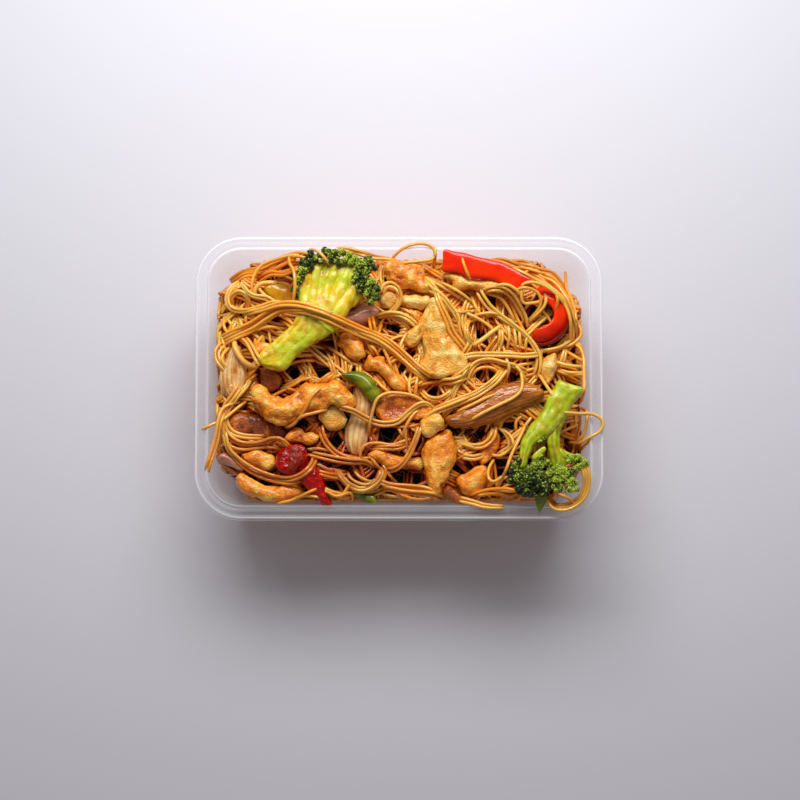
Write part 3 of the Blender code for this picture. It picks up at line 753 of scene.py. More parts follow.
@dataclass(frozen=True)
class TakeawayBox:
    """The rectangular box with sloping walls and a rim that a lid snaps on to.

    Every level of it is a rounded rectangle that lies some way in from the rim's outer edge.
    """

    length: float = 172.0
    width: float = 120.0
    height: float = 50.0
    corner: float = 20.0
    smallest_corner: float = 2.0
    wall: float = 0.8
    lip_inset: float = 6.2
    wall_top_inset: float = 7.0
    base_inset: float = 13.2
    floor_level: float = 1.3
    corner_steps: int = 18
    wall_milk: float = 0.24
    rim_milk: float = 0.1
    # Bands along the rim's outer edge and its inner lip are whiter and stop more light: painted highlight
    # lines.
    highlight_line_milk: float = 0.85
    highlight_lines: tuple[tuple[float, float], ...] = ((1.1, 0.5), (5.5, 0.5))

    def outline(self, inset: float, level: float) -> Array:
        """The rounded rectangle at an inset, as points in order anticlockwise.

        Args:
            inset: distance in from the rim's outer edge.
            level: height of the points.

        Returns:
            One point in each row.
        """
        radius = max(self.corner - inset, self.smallest_corner)
        turn = np.arange(4)[:, None] * TURN / 4
        angle = turn + np.linspace(0, TURN / 4, self.corner_steps + 1)[None, :]
        sign_x = np.array([1, -1, -1, 1])[:, None]
        sign_y = np.array([1, 1, -1, -1])[:, None]
        x = sign_x * (self.length / 2 - inset - radius) + radius * np.cos(angle)
        y = sign_y * (self.width / 2 - inset - radius) + radius * np.sin(angle)
        return np.stack([x.ravel(), y.ravel(), np.full(x.size, level)], axis=1)

    def inner_inset(self, level: Union[float, Array]) -> Union[float, Array]:
        """How far in the inner wall lies at a height."""
        low, high = self.floor_level + 1.5, self.height - 2.8
        return np.interp(level, [self.floor_level, low, high], [16.2, 14.6, self.wall_top_inset])

    def kept_inside(self, places: Array, inset: float) -> Array:
        """The places, with those outside the outline at the inset moved to the nearest point of it.

        Args:
            places: x and y in each row.
            inset: distance in from the rim's outer edge.

        Returns:
            The moved places.
        """
        radius = max(self.corner - inset, self.smallest_corner)
        core = np.array([self.length / 2 - inset - radius, self.width / 2 - inset - radius])
        over = np.maximum(np.abs(places) - core, 0)
        away = np.linalg.norm(over, axis=1, keepdims=True)
        pulled = over * np.minimum(1, radius / np.maximum(away, 1e-9))
        return np.where(np.abs(places) > core, np.sign(places) * (core + pulled), places)

    def profile(self) -> Array:
        """(inset, level) of the box's skin, from the inner floor over the rim to the base's underside."""
        top = self.height
        inside = [(19.0, self.floor_level), (16.2, self.floor_level + 0.3), (14.6, self.floor_level + 1.5)]
        wall = [(self.wall_top_inset, top - 2.8)]
        lip = self.lip_inset
        inner_lip = [(lip + 0.4, top - 0.7), (lip, top - 0.2), (lip - 0.5, top - 0.2)]
        inner_groove = [(5.2, top - 1.0), (4.8, top - 1.0)]
        bead = [(4.4, top - 0.2), (3.9, top), (3.4, top - 0.1)]
        outer_groove = [(2.9, top - 1.1), (2.3, top - 1.2)]
        outer_lip = [(1.7, top - 0.8), (0.9, top - 0.9), (0.3, top - 1.5), (0.0, top - 2.4)]
        skirt = [(0.0, top - 4.8), (self.wall, top - 4.8), (self.wall, top - 2.9), (1.6, top - 2.2)]
        underside = [(5.6, top - 2.2), (self.wall_top_inset - self.wall, top - 3.4)]
        outside = [(self.base_inset, 3.0), (self.base_inset + 1.0, 0.9), (self.base_inset + 2.8, 0.0)]
        foot = [(self.base_inset + 5.0, 0.0), (self.base_inset + 5.8, 0.5)]
        parts = [
            inside, wall, inner_lip, inner_groove, bead, outer_groove, outer_lip,
            skirt, underside, outside, foot,
        ]
        return np.array([place for part in parts for place in part])

    def rounded_profile(self) -> Array:
        """The profile with each corner cut twice, a fifth of the way along both of its sides at most."""
        places = self.profile()
        for _ in range(2):
            ahead = np.roll(places, -1, axis=0) - places
            length = np.linalg.norm(ahead, axis=1, keepdims=True)
            cut = np.minimum(0.25 * length, 0.22) / length * ahead
            places = np.stack([places + cut, np.roll(places, -1, axis=0) - cut], axis=1).reshape(-1, 2)[:-2]
        return places

    def build(self) -> bpy.types.Object:
        """The box as one piece."""
        places = self.rounded_profile()
        rings = np.array([self.outline(inset, level) for inset, level in places])
        ends = [(0, 0, places[0, 1]), (0, 0, places[-1, 1])]
        in_rim = np.clip((places[:, 1] - (self.height - 5.2)) / 0.8, 0, 1)
        in_rim = in_rim * (places[:, 0] < self.wall_top_inset + 0.6)
        milk = self.wall_milk + (self.rim_milk - self.wall_milk) * in_rim
        on_top = places[:, 1] > self.height - 1.6
        # Painted highlight lines: the milk rises in narrow bands along the outer edge and the inner lip on top
        # of the rim.
        for inset, half in self.highlight_lines:
            line = self.highlight_line_milk * np.exp(-(((places[:, 0] - inset) / half) ** 2)) * on_top
            milk = np.maximum(milk, line)
        values = {"milk": np.repeat(milk[:, None], rings.shape[1], axis=1)}
        skin = Skin.from_rings(rings, np.array(ends), values)
        made = skin.build("box_shell", PlasticFinish().material())
        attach(made, ROOT)
        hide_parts("box")
        return made


class Kind(Enum):
    """What a topping is made of, and a second word for a part of it."""

    CHICKEN = "chicken"
    BROWN_ONION = "brown_onion"
    SOFT_ONION = "soft_onion"
    PINK_ONION = "pink_onion"
    RED_PEPPER = "red_pepper"
    GREEN_PEPPER = "green_pepper"
    YELLOW_PEPPER = "yellow_pepper"
    CHILLI = "chilli"
    CHILLI_FLESH = "chilli flesh"
    RED_SKIN = "red_pepper skin"


@dataclass(frozen=True)
class Lens:
    """A flat lump between two edges that run from its first end to its last.

    outline holds the places round it in plan. The edges are the two halves of the outline, from one end of
    its longest direction to the other. At every step along them the section is a superellipse as wide as
    the edges are apart. The half thickness falls to the ends as the root of 1 minus a power of the share.
    arch raises the middle of the section, dish lowers the middle of the upper side, and rise tilts the
    piece along its length. ridges is the depth of furrows that run from end to end. The first end is that
    nearest the outline's first place, and taper is the thickness at the last end as a share of that at the
    first.
    """

    outline: Points
    blunt: float = 4.0
    square: float = 0.9
    arch: float = 0.0
    dish: float = 0.0
    rise: float = 0.0
    lumps: float = 0.55
    grain: float = 0.22
    ridges: float = 0.0
    ridge_pitch: float = 1.6
    step: float = 0.3
    taper: float = 1.0

    def edges(self, shares: Array) -> tuple[Array, Array]:
        """Both edges at the given shares of their length."""
        round_it = smooth_way(self.outline, 0.25, closed=True)
        centred = round_it - round_it.mean(axis=0)
        along = centred @ np.linalg.svd(centred, full_matrices=False)[2][0]
        along = along * (-1 if along[0] > 0 else 1)
        first, last = int(along.argmin()), int(along.argmax())
        ahead = np.roll(round_it, -first, axis=0)
        split = (last - first) % len(round_it)
        one = ahead[: split + 1]
        other = np.concatenate([ahead[split:], ahead[:1]])[::-1]
        return resample(one, shares), resample(other, shares)

    def skin(self, level: float, thick: float, seed: int) -> Skin:
        """The lump's surface.

        Args:
            level: height of its middle.
            thick: its thickness.
            seed: picks its lumps.

        Returns:
            The surface, with the values fold from high parts to folds, below from the upper side to the
            lower, and groove from the ridges to the furrows.
        """
        one, other = self.edges(np.linspace(0, 1, 5))
        reach = float(np.ptp(np.concatenate([one, other]), axis=0).max())
        shares = 0.5 - 0.5 * np.cos(math.pi * np.linspace(0, 1, max(24, int(reach / self.step))))
        one, other = self.edges(shares)
        wide = float(np.linalg.norm(one - other, axis=1).max())
        angle = np.linspace(0, TURN, max(28, int((wide + thick) * 1.1 / self.step)), endpoint=False)[None, :]
        share = shares[1:-1, None]
        middle, half = (one + other)[1:-1] / 2, (one - other)[1:-1] / 2
        full = (1 - np.abs(2 * share - 1) ** self.blunt) ** 0.5
        across = np.sign(np.cos(angle)) * np.abs(np.cos(angle)) ** self.square
        upward = np.sign(np.sin(angle)) * np.abs(np.sin(angle)) ** self.square
        height = (thick - self.arch) / 2 * full * upward + self.arch * full * (0.5 - across**2)
        hollow = self.dish * np.maximum(upward, 0) * (1 - across**2) * (1 - (2 * share - 1) ** 2)
        height = (height - hollow) * (1 + (self.taper - 1) * share) + self.rise * (2 * share - 1)
        flat = middle[:, None, :] + half[:, None, :] * across[..., None]
        rings = np.concatenate([flat, (level + height)[..., None]], axis=-1)
        coarse = value_noise(rings, 4.6, seed) + 0.6 * value_noise(rings, 2.3, seed + 1)
        fine = 0.7 * value_noise(rings, 1.1, seed + 2) + 0.4 * value_noise(rings, 0.6, seed + 3)
        drift = 1.5 * value_noise(rings[..., :2], 9.0, seed)
        furrow = np.cos(across * wide / 2 / self.ridge_pitch * TURN + drift)
        lift = self.lumps * coarse + self.grain * fine + self.ridges * furrow
        rings = rings + ring_normals(rings) * (lift * np.minimum(1, full * 1.4))[..., None]
        fold = np.clip(0.5 - 0.5 * (0.8 * coarse + 0.5 * fine) + hollow * 0.14, 0, 1)
        below = np.clip(-upward * 1.6, 0, 1)
        ends = [(*one[0], level - self.rise), (*one[-1], level + self.rise)]
        # The fold value is higher in the dish and on the underside, where finishes that read it paint shade.
        values = {"fold": fold + 0.35 * below, "below": below, "groove": 0.5 - 0.5 * furrow}
        return Skin.from_rings(rings, np.array(ends), values)


@dataclass(frozen=True)
class Topping:
    """One morsel of the row: a lens as high and as thick as its node in the frame.

    look picks the finish within its kind, and lift raises it.
    """

    node: str
    kind: Kind
    lens: Lens
    look: str = ""
    lift: float = 0.0

    def skin(self) -> Skin:
        """The morsel's surface."""
        low, high = (np.array(corner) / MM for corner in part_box(self.node))
        seed = sum(ord(letter) for letter in self.node)
        made = self.lens.skin((low[2] + high[2]) / 2 + self.lift, high[2] - low[2], seed)
        below = made.values.pop("below")
        # A peel's lower side gets the darker third colour: partly its other face's own colour, partly painted
        # shade along lower edges.
        made.values["side"] = below if self.kind is not Kind.CHICKEN else 0 * below
        return made


@dataclass(frozen=True)
class Curl:
    """A strip of pepper that is bent on its edge to a part of a ring.

    way holds its middle line in plan. The section is a thin band whose top leans outwards by lean
    degrees at the start and at the end of the way.
    """

    node: str
    kind: Kind
    way: Points
    wide: float
    thick: float
    lean: tuple[float, float]
    level: float

    def skin(self) -> Skin:
        """The strip's surface, with side 0 on the inner face and 1 on the outer skin."""
        path = smooth_way(self.way, 0.5)
        slope = unit(np.gradient(path, axis=0))
        outward = np.stack([slope[:, 1], -slope[:, 0]], axis=1)
        angle = np.linspace(0, TURN, 44, endpoint=False)[None, :]
        share = np.linspace(0, 1, len(path))[:, None]
        full = (1 - np.abs(2 * share - 1) ** 14) ** 0.5
        across = self.thick / 2 * full * np.sign(np.cos(angle)) * np.abs(np.cos(angle)) ** 0.7
        upward = self.wide / 2 * full * np.sign(np.sin(angle)) * np.abs(np.sin(angle)) ** 0.6
        across = across + 1.1 * (upward / (self.wide / 2)) ** 2
        turn = np.clip(share * 1.5 - 0.35, 0, 1)
        lean = np.radians(self.lean[0] + (self.lean[1] - self.lean[0]) * turn * turn * (3 - 2 * turn))
        over = across * np.cos(lean) + upward * np.sin(lean)
        high = upward * np.cos(lean) - across * np.sin(lean)
        flat = path[:, None, :] + outward[:, None, :] * over[..., None]
        rings = np.concatenate([flat, (self.level + high)[..., None]], axis=-1)
        rings = rings + ring_normals(rings) * (0.12 * value_noise(rings, 3.0, 5))[..., None]
        side = np.clip(np.cos(angle) * 2 + 0 * share, 0, 1)
        ends = [(*path[0], self.level), (*path[-1], self.level)]
        return Skin.from_rings(rings, np.array(ends), {"fold": side, "side": side, "groove": 0 * side})


CHICKEN_LOOKS = {
    "": ChickenFinish(),
    "pale": ChickenFinish("chicken_pale", paint(255, 214, 116), paint(255, 172, 44), paint(216, 108, 14),
        -0.12),
    "sauced": ChickenFinish("chicken_sauced", paint(255, 192, 84), paint(252, 142, 14), paint(176, 68, 4),
        0.0),
    "dark": ChickenFinish("chicken_dark", paint(224, 132, 30), paint(180, 84, 8), paint(96, 34, 2), 0.1),
}

PEEL_LOOKS = {
    Kind.BROWN_ONION: PeelFinish(
        "onion_brown", paint(198, 118, 36), paint(160, 80, 20), paint(104, 30, 4), 2.4, (3.0, 1.0, 1.0),
        0.06, 0.3, 0.6,
        0.4
    ),
    Kind.SOFT_ONION: PeelFinish(
        "onion_soft", paint(246, 204, 136), paint(206, 130, 44), paint(150, 74, 12), 3.0, (1.0, 3.0, 1.0),
        0.12, 0.1, 0.5,
        0.4
    ),
    Kind.PINK_ONION: PeelFinish(
        "onion_pink", paint(226, 158, 126), paint(160, 92, 72), paint(110, 50, 44), 2.4, (3.0, 1.0, 1.0),
        0.1, 0.1, 0.6
    ),
    Kind.RED_PEPPER: PeelFinish(
        "pepper_red", paint(246, 50, 0), paint(234, 30, 0), paint(150, 3, 0), 5.0, (2.0, 1.0, 1.0), 0.1,
        0.04, 0.0
    ),
    Kind.GREEN_PEPPER: PeelFinish(
        "pepper_green", paint(134, 142, 16), paint(84, 104, 4), paint(60, 78, 4), 3.0, (2.0, 1.0, 1.0), 0.16,
        0.05, 0.3
    ),
    Kind.YELLOW_PEPPER: PeelFinish(
        "pepper_yellow", paint(214, 168, 18), paint(212, 130, 6), paint(140, 96, 8), 3.2, (1.0, 2.0, 1.0),
        0.22, 0.1
    ),
    Kind.RED_SKIN: PeelFinish(
        "pepper_skin", paint(150, 8, 0), paint(126, 4, 0), paint(100, 2, 0), 5.0, (2.0, 1.0, 1.0), 0.12,
        0.04, 0.1
    ),
    Kind.CHILLI_FLESH: PeelFinish(
        "chilli_flesh", paint(158, 50, 22), paint(130, 10, 3), paint(80, 4, 0), 1.3, (1.0, 1.6, 1.0), 0.24,
        0.3, 0.0
    ),
    Kind.CHILLI: PeelFinish(
        "chilli", paint(198, 8, 0), paint(140, 1, 0), paint(90, 0, 0), 2.6, (1.0, 1.0, 1.0), 0.06, 0.45, 0.2
    ),
}

CHICKEN, BROWN, SOFT, PINK = Kind.CHICKEN, Kind.BROWN_ONION, Kind.SOFT_ONION, Kind.PINK_ONION

TOPPINGS: tuple[Topping, ...] = (
    Topping("onion_ring", SOFT, Lens(
        pairs(-69.5, 14.5, -73, 9, -75.3, 3, -75.2, -3, -72.6, -7.2, -67.6, -8.4, -64.6, -4.6, -64.2, 1,
            -65, 7, -67, 13),
        arch=2.0, lumps=0.3, dish=1.8, ridges=0.22, ridge_pitch=1.9,
    )),
    Topping("onion_purple", PINK, Lens(
        pairs(-76.2, -33.4, -74, -31.3, -71.4, -31.8, -68.6, -34.2, -65.2, -37.6, -66.4, -39, -70.2, -37.2,
            -74.6, -35.6),
        lumps=0.25, grain=0.08,
    )),
    Topping("chicken_under", CHICKEN, Lens(
        pairs(-71.5, -17, -68, -15, -64, -14.2, -59, -15, -54, -18, -49, -21, -47.2, -24, -52, -25.4,
            -58, -25.2, -64, -24.8, -69, -23, -71.6, -20),
        blunt=8.0, lumps=0.7, dish=0.8,
    ), "dark"),
    Topping("chicken_dark", CHICKEN, Lens(
        pairs(-59.5, 4.4, -55.5, 5.6, -51.6, 2.2, -49.4, -2.4, -51.6, -5.2, -55.4, -4.6, -58.6, -0.4),
        lumps=1.0, grain=0.3,
    ), "dark"),
    Topping("chicken_crumb", CHICKEN, Lens(
        pairs(-61, 12.4, -59.8, 14.6, -56.4, 15.2, -53.2, 14, -52.8, 11.6, -55.6, 9.8, -59.4, 10),
        lumps=0.8,
    )),
    Topping("pepper_yellow", Kind.YELLOW_PEPPER, Lens(
        pairs(-57, 37.2, -54.4, 40.3, -50.6, 41, -46.4, 40.2, -44.3, 37.6, -44, 33.4, -45.4, 30.2,
            -49.4, 30.4, -52.6, 31.8, -55.6, 34.4),
        arch=1.5, lumps=0.3,
    )),
    Topping("onion_pink", PINK, Lens(
        pairs(-28.6, 24.6, -24, 27, -19.6, 29, -15.2, 31.6, -11.6, 30.8, -8.6, 28.4, -9.8, 25.6, -14, 22.8,
            -19, 21.6, -24, 22.4),
        arch=2.0, lumps=0.25, grain=0.08,
    )),
    Topping("onion_soft", SOFT, Lens(
        pairs(-18.8, -3.4, -13, -5, -10.4, -9, -11.4, -14, -12.4, -19, -13, -25, -15.4, -31.4, -19.6, -32.2,
            -22.6, -28, -22.8, -22, -20.8, -17, -19.2, -10),
        arch=1.6, lumps=0.4, grain=0.1, ridges=0.12, ridge_pitch=2.6,
    )),
    Topping("chicken_left", CHICKEN, Lens(
        pairs(-66.2, -32.2, -62.6, -30.4, -58.4, -29.6, -55.8, -31.4, -52.8, -33, -51.3, -35.6,
            -53.2, -37.6, -56.6, -38.8, -60.6, -37.2, -64.2, -35.4),
        lumps=0.9,
    )),
    Topping("chicken_strip", CHICKEN, Lens(
        pairs(-68.3, -42.2, -66, -39.8, -62.4, -42, -58, -44.6, -54, -45.4, -49, -44.9, -44.6, -44.6,
            -41.4, -45.8, -39.3, -48.2, -43, -50.4, -48.8, -52, -53.6, -51.6, -58.8, -50.2, -64.2, -48.8,
            -67.6, -45.8),
        lumps=0.5,
    )),
    Topping("chicken_bar", CHICKEN, Lens(
        pairs(-13.3, -32.4, -10, -30.2, -6, -29.9, -2, -31.7, 1.6, -32.8, 5, -33.6, 9.4, -33.4, 10.4, -36.2,
            9, -38.7, 4, -38.6, -0.6, -37.8, -4.4, -38.1, -8.2, -36.2, -11.4, -34.4),
        rise=-1.0,
    )),
    Topping("bean_green", Kind.GREEN_PEPPER, Lens(
        pairs(-21.8, -48.2, -17, -47.4, -13, -48.4, -10, -49.8, -9.8, -53, -13, -52.4, -17, -50.8,
            -20.4, -49.6),
        lumps=0.45, grain=0.1,
    )),
    Topping("chicken_flake", CHICKEN, Lens(
        pairs(17.8, -46.8, 20.4, -45.4, 24.2, -46.6, 26.2, -49.2, 29.7, -51.4, 27, -54, 23.6, -52.2,
            20, -49.8),
        lumps=0.8,
    ), "dark"),
    Topping("chicken_white", CHICKEN, Lens(
        pairs(59.6, 5.6, 61.8, 8.8, 65.8, 10.6, 66.9, 7.6, 66, 4, 65.4, 0.6, 63, -3.2, 60.4, -1.2, 59.4, 2),
        lumps=0.8,
    ), "pale"),
    Topping("chicken_slice", CHICKEN, Lens(
        pairs(39.4, -20.2, 42.2, -23.6, 42.4, -28, 40.2, -31.6, 38, -34.6, 34.6, -36.8, 33.4, -32,
            36.2, -26),
    ), "sauced"),
    Topping("chicken_end", CHICKEN, Lens(
        pairs(24.2, -43, 26, -40.4, 30, -39.2, 33.2, -37, 36, -36.6, 37.6, -39, 38.2, -42, 36.6, -45.4,
            33.4, -48.4, 29.8, -49.4, 26.6, -47.6, 24.6, -45.2),
        lumps=0.7,
    )),
    Topping("onion_wedge", BROWN, Lens(
        pairs(19.5, -16.9, 24.5, -14.2, 29, -11.6, 34.1, -8.2, 38.6, -5.4, 43, -2.8, 49.7, -1.6, 56.5, -2.6,
            60, -5.4, 60.2, -8.8, 53.1, -12.6, 46.4, -16.1, 39.7, -18.6, 31.8, -21.2, 26, -21.6, 22, -21,
            19.6, -18.9),
        blunt=12.0, arch=1.8, lumps=0.4, grain=0.16, ridges=0.14, ridge_pitch=1.5,
    )),
    Topping("chicken_top", CHICKEN, Lens(
        pairs(-5.6, 47.6, -3.4, 50.2, 0.2, 50, 2.4, 47.9, 5.2, 49.1, 8.2, 48.4, 10.2, 45.8, 11, 42.8,
            13.2, 40, 13.6, 37.4, 10, 36, 5, 36.6, 0, 38.6, -4, 40.6, -6, 44),
        lumps=1.0, dish=1.0,
    )),
    Topping("chicken_fold", CHICKEN, Lens(
        pairs(-7.2, 33, -6, 36, -2.6, 35.8, 1, 34.6, 5, 35.2, 9.6, 34.8, 12.6, 34.2, 12.2, 30.8, 8.6, 29.6,
            3.6, 30.2, -0.4, 30.6, -3.6, 29, -6.4, 30),
        lumps=0.8,
    ), "pale", lift=-0.8),
    Topping("chicken_big", CHICKEN, Lens(
        pairs(14.2, 33.4, 16.6, 32.6, 19.2, 29.6, 21.8, 24.6, 24.1, 18.8, 26, 13.2, 28, 9.6, 28.9, 7,
            27.9, 4, 23.4, 1.4, 17.2, 0.1, 11.8, 1, 8.7, 4, 8.9, 6.6, 10.9, 9.4, 10.6, 13.2, 9.5, 17.1,
            9.6, 21, 11.2, 25.5, 12.4, 29.4),
        blunt=7.0, lumps=0.8, dish=1.0,
    ), "pale"),
    Topping("chicken_arm", CHICKEN, Lens(
        pairs(2.1, 16, 2.7, 18.8, 5.7, 21.9, 8.8, 24.9, 11.1, 28.3, 12.8, 32.2, 14.9, 32, 14.4, 27.7,
            12.8, 23.3, 11.1, 18.8, 9, 14.8, 6.6, 13.2, 3.8, 13.8),
        lumps=0.8, rise=0.8,
    ), "pale"),
    Topping("chicken_knob", CHICKEN, Lens(
        pairs(-25.2, 17.4, -22.6, 19.6, -19.4, 18.4, -18.4, 16.2, -15.4, 16, -13.8, 13.4, -14.4, 9.8,
            -17.6, 6.8, -21, 8.4, -22.4, 11, -25.2, 13.4),
        lumps=1.3,
    ), "sauced"),
    Topping("chicken_crisp", CHICKEN, Lens(
        pairs(-14.2, 5, -12.6, 9.6, -10.6, 8.2, -6.6, 8.6, -5.4, 6.2, -2, 3, 1, -0.6, 4.2, -4.2, 4.4, -6.2,
            -1, -5.4, -4.2, -2.2, -8, 1.8, -12, 3),
        lumps=0.9,
    ), "sauced"),
    Topping("chicken_long", CHICKEN, Lens(
        pairs(-61.4, -6, -59.6, -3.2, -56.4, -4.4, -53.4, -7.8, -48.6, -9, -44, -6.2, -40.4, -2.8,
            -35.6, -2.8, -31, -2, -26.4, -1, -22.4, -2.6, -20, -6.4, -18, -11, -20, -14.8, -24, -13.8,
            -27.6, -12.2, -31.4, -13.2, -36.2, -14.8, -41, -16.8, -45.4, -19.6, -50.2, -19.8, -55.2, -18.2,
            -59.2, -14.8, -61.4, -10.6),
        lumps=1.0, grain=0.26, blunt=6.0,
    )),
    Topping("chicken_lobe", CHICKEN, Lens(
        pairs(-33.8, -16.2, -31.2, -13, -27.2, -11.6, -23.6, -13.6, -21.8, -17.2, -23.8, -20.8,
            -27.6, -22.2, -31.2, -20.2),
        lumps=0.7,
    ), "pale", lift=0.9),
    Topping("chicken_nub", CHICKEN, Lens(
        pairs(-48.2, -26, -46.6, -23, -43.4, -20.8, -40.9, -21.4, -39.4, -23.4, -36.8, -23, -33.8, -24.6,
            -34.8, -27.2, -38, -28.2, -41.4, -27.8, -45, -28.2),
        lumps=0.6,
    )),
    Topping("pepper_green", Kind.GREEN_PEPPER, Lens(
        pairs(-24.2, 0.6, -21, 2.4, -16, 2.5, -12, 0.3, -9, -4, -7.2, -8.2, -9.2, -11.6, -11.6, -10,
            -14.2, -7.4, -17, -4.4, -20.4, -1.9),
        blunt=8.0, arch=1.6, lumps=0.12, grain=0.02,
    )),
    Topping("chicken_ear", CHICKEN, Lens(
        pairs(-9.4, -14.4, -8.6, -11, -6.4, -8, -2.8, -6.2, 2, -6.6, 6.6, -8, 10.2, -10, 13.4, -12.2,
            12.4, -15.6, 8.4, -18, 3.4, -18.2, -2, -18.8, -7, -18.2),
        lumps=0.6, dish=3.0,
    ), "sauced"),
    Topping("chicken_drop", CHICKEN, Lens(
        pairs(20.6, -21.8, 18, -22.8, 15, -24.2, 11.6, -26.6, 9.5, -30.6, 10.2, -35, 11, -39.2, 11.4, -43,
            12.6, -46.2, 15.3, -49.9, 18.4, -46.4, 20, -43.2, 21.2, -39.4, 23, -35.8, 24.4, -32,
            23.6, -27.4, 22.6, -24),
        lumps=0.8, rise=0.8,
    )),
    Topping("chicken_cube", CHICKEN, Lens(
        pairs(9, -21.2, 8.8, -18.4, 11.2, -16.6, 15, -15.4, 17.2, -16, 18.4, -18.8, 18.8, -21.6, 16, -22.6,
            12.6, -25, 10, -24.2),
        lumps=0.5,
    ), "pale"),
    Topping("chilli_round", Kind.CHILLI, Lens(
        pairs(-51.8, -34, -49.6, -30.6, -46.6, -28.5, -42.6, -28, -39.4, -29.4, -38, -33, -38.6, -37.4,
            -41.8, -40.6, -46, -41.6, -49.6, -40.2, -51.6, -37.2),
        lumps=0.5, grain=0.05,
    )),
    Topping("chilli_round", Kind.CHILLI_FLESH, Lens(
        pairs(-45.6, -29, -41.4, -29, -39.2, -32, -39.4, -36.4, -42.2, -39.6, -45.6, -40.2, -47.8, -37.6,
            -47.2, -33),
        blunt=2.4, lumps=0.5, grain=0.2,
    ), lift=0.7),
    Topping("chilli_tail", Kind.CHILLI, Lens(
        pairs(-41.5, -42.4, -38.8, -38.9, -34.4, -38, -31.6, -42, -30.4, -46.6, -28.9, -50.4, -27.5, -53.2,
            -29, -54.9, -32, -53.6, -35, -50.6, -37.8, -47.8, -40.2, -45),
        lumps=0.6, grain=0.08, rise=-1.6,
    )),
    Topping("chicken_pale", CHICKEN, Lens(
        pairs(19, 42.2, 21.6, 44.3, 25.4, 43.8, 28.6, 41.2, 33.6, 40.9, 39, 41.1, 43.2, 38.8, 46.2, 36.8,
            42, 36, 36, 36, 30.6, 36.8, 26.2, 36.3, 23.2, 37.8, 22, 40.4),
        lumps=0.5,
    ), "pale", lift=4.0),
    Topping("pepper_strip", Kind.RED_PEPPER, Lens(
        pairs(18.4, 48.6, 18.8, 53.3, 23, 52.7, 28, 51.9, 33, 50.4, 38, 49.2, 43, 48, 48, 45.6, 52, 43.3,
            55.6, 40.2, 51.4, 36.8, 47, 36.9, 43, 38.9, 38.6, 40.6, 33.6, 41, 29, 41.6, 24, 43.7,
            18.5, 44.2),
        blunt=60.0, arch=0.3, lumps=0.1, grain=0.02, square=0.4,
    )),
)

CURLS: tuple[Curl, ...] = (
    Curl("pepper_curl", Kind.RED_PEPPER, pairs(58, 35.2, 62, 36, 66, 34.4, 69, 30.6, 69.6, 26, 67.6, 21.4,
        63.8, 18.2, 59.4, 17, 55.8, 17.8),
         9.4, 2.2, (58.0, 46.0), 47.2),
    Curl("pepper_curl", Kind.RED_SKIN, pairs(71.4, 27.6, 70.6, 22.4, 67.6, 18, 63.4, 15.4, 59, 14.8,
        56, 15.6),
         6.4, 1.8, (-18.0, -34.0), 45.6),
)


@dataclass(frozen=True)
class Cluster:
    """A round head of buds: its middle in plan, its radius, and how dark it is from 0 to 1."""

    x: float
    y: float
    radius: float
    shade: float


@dataclass(frozen=True)
class Stem:
    """A flat part of a floret's stalk with furrows along it.

    shade goes from light to dark, lift raises it, and thick is its thickness.
    """

    lens: Lens
    shade: float
    lift: float
    thick: float


@dataclass(frozen=True)
class Branch:
    """A round branch of a floret, thinner at its end, with its level and shade above those of the node."""

    way: Points
    start: float
    end: float
    rise: tuple[float, float] = (0.0, 1.5)
    shade: float = 0.1

    def skin(self, level: float) -> Skin:
        """The branch's surface."""
        path = smooth_way(self.way, 0.35)
        share = np.linspace(0, 1, len(path))
        height = level + self.rise[0] + (self.rise[1] - self.rise[0]) * share
        radius = self.start + (self.end - self.start) * share**0.8 + 0.3 * np.sin(share * 9 + self.start * 5)
        made = rod(np.column_stack([path, height]), radius, 28, {}, 0.8)
        lumps = value_noise(made.points * np.array([1.0, 1.0, 1.6]), 2.6, 11)
        points = made.points + 0.3 * lumps[:, None] * np.array([0.6, 0.6, 1.0])
        # Painted shade: lower parts of a branch are darker.
        shade = np.clip(self.shade - 0.35 * lumps + 0.07 * (level + 3.0 - points[:, 2]), 0, 1)
        return Skin(points, made.quads, made.triangles, {"shade": shade, "bud": 0 * shade})


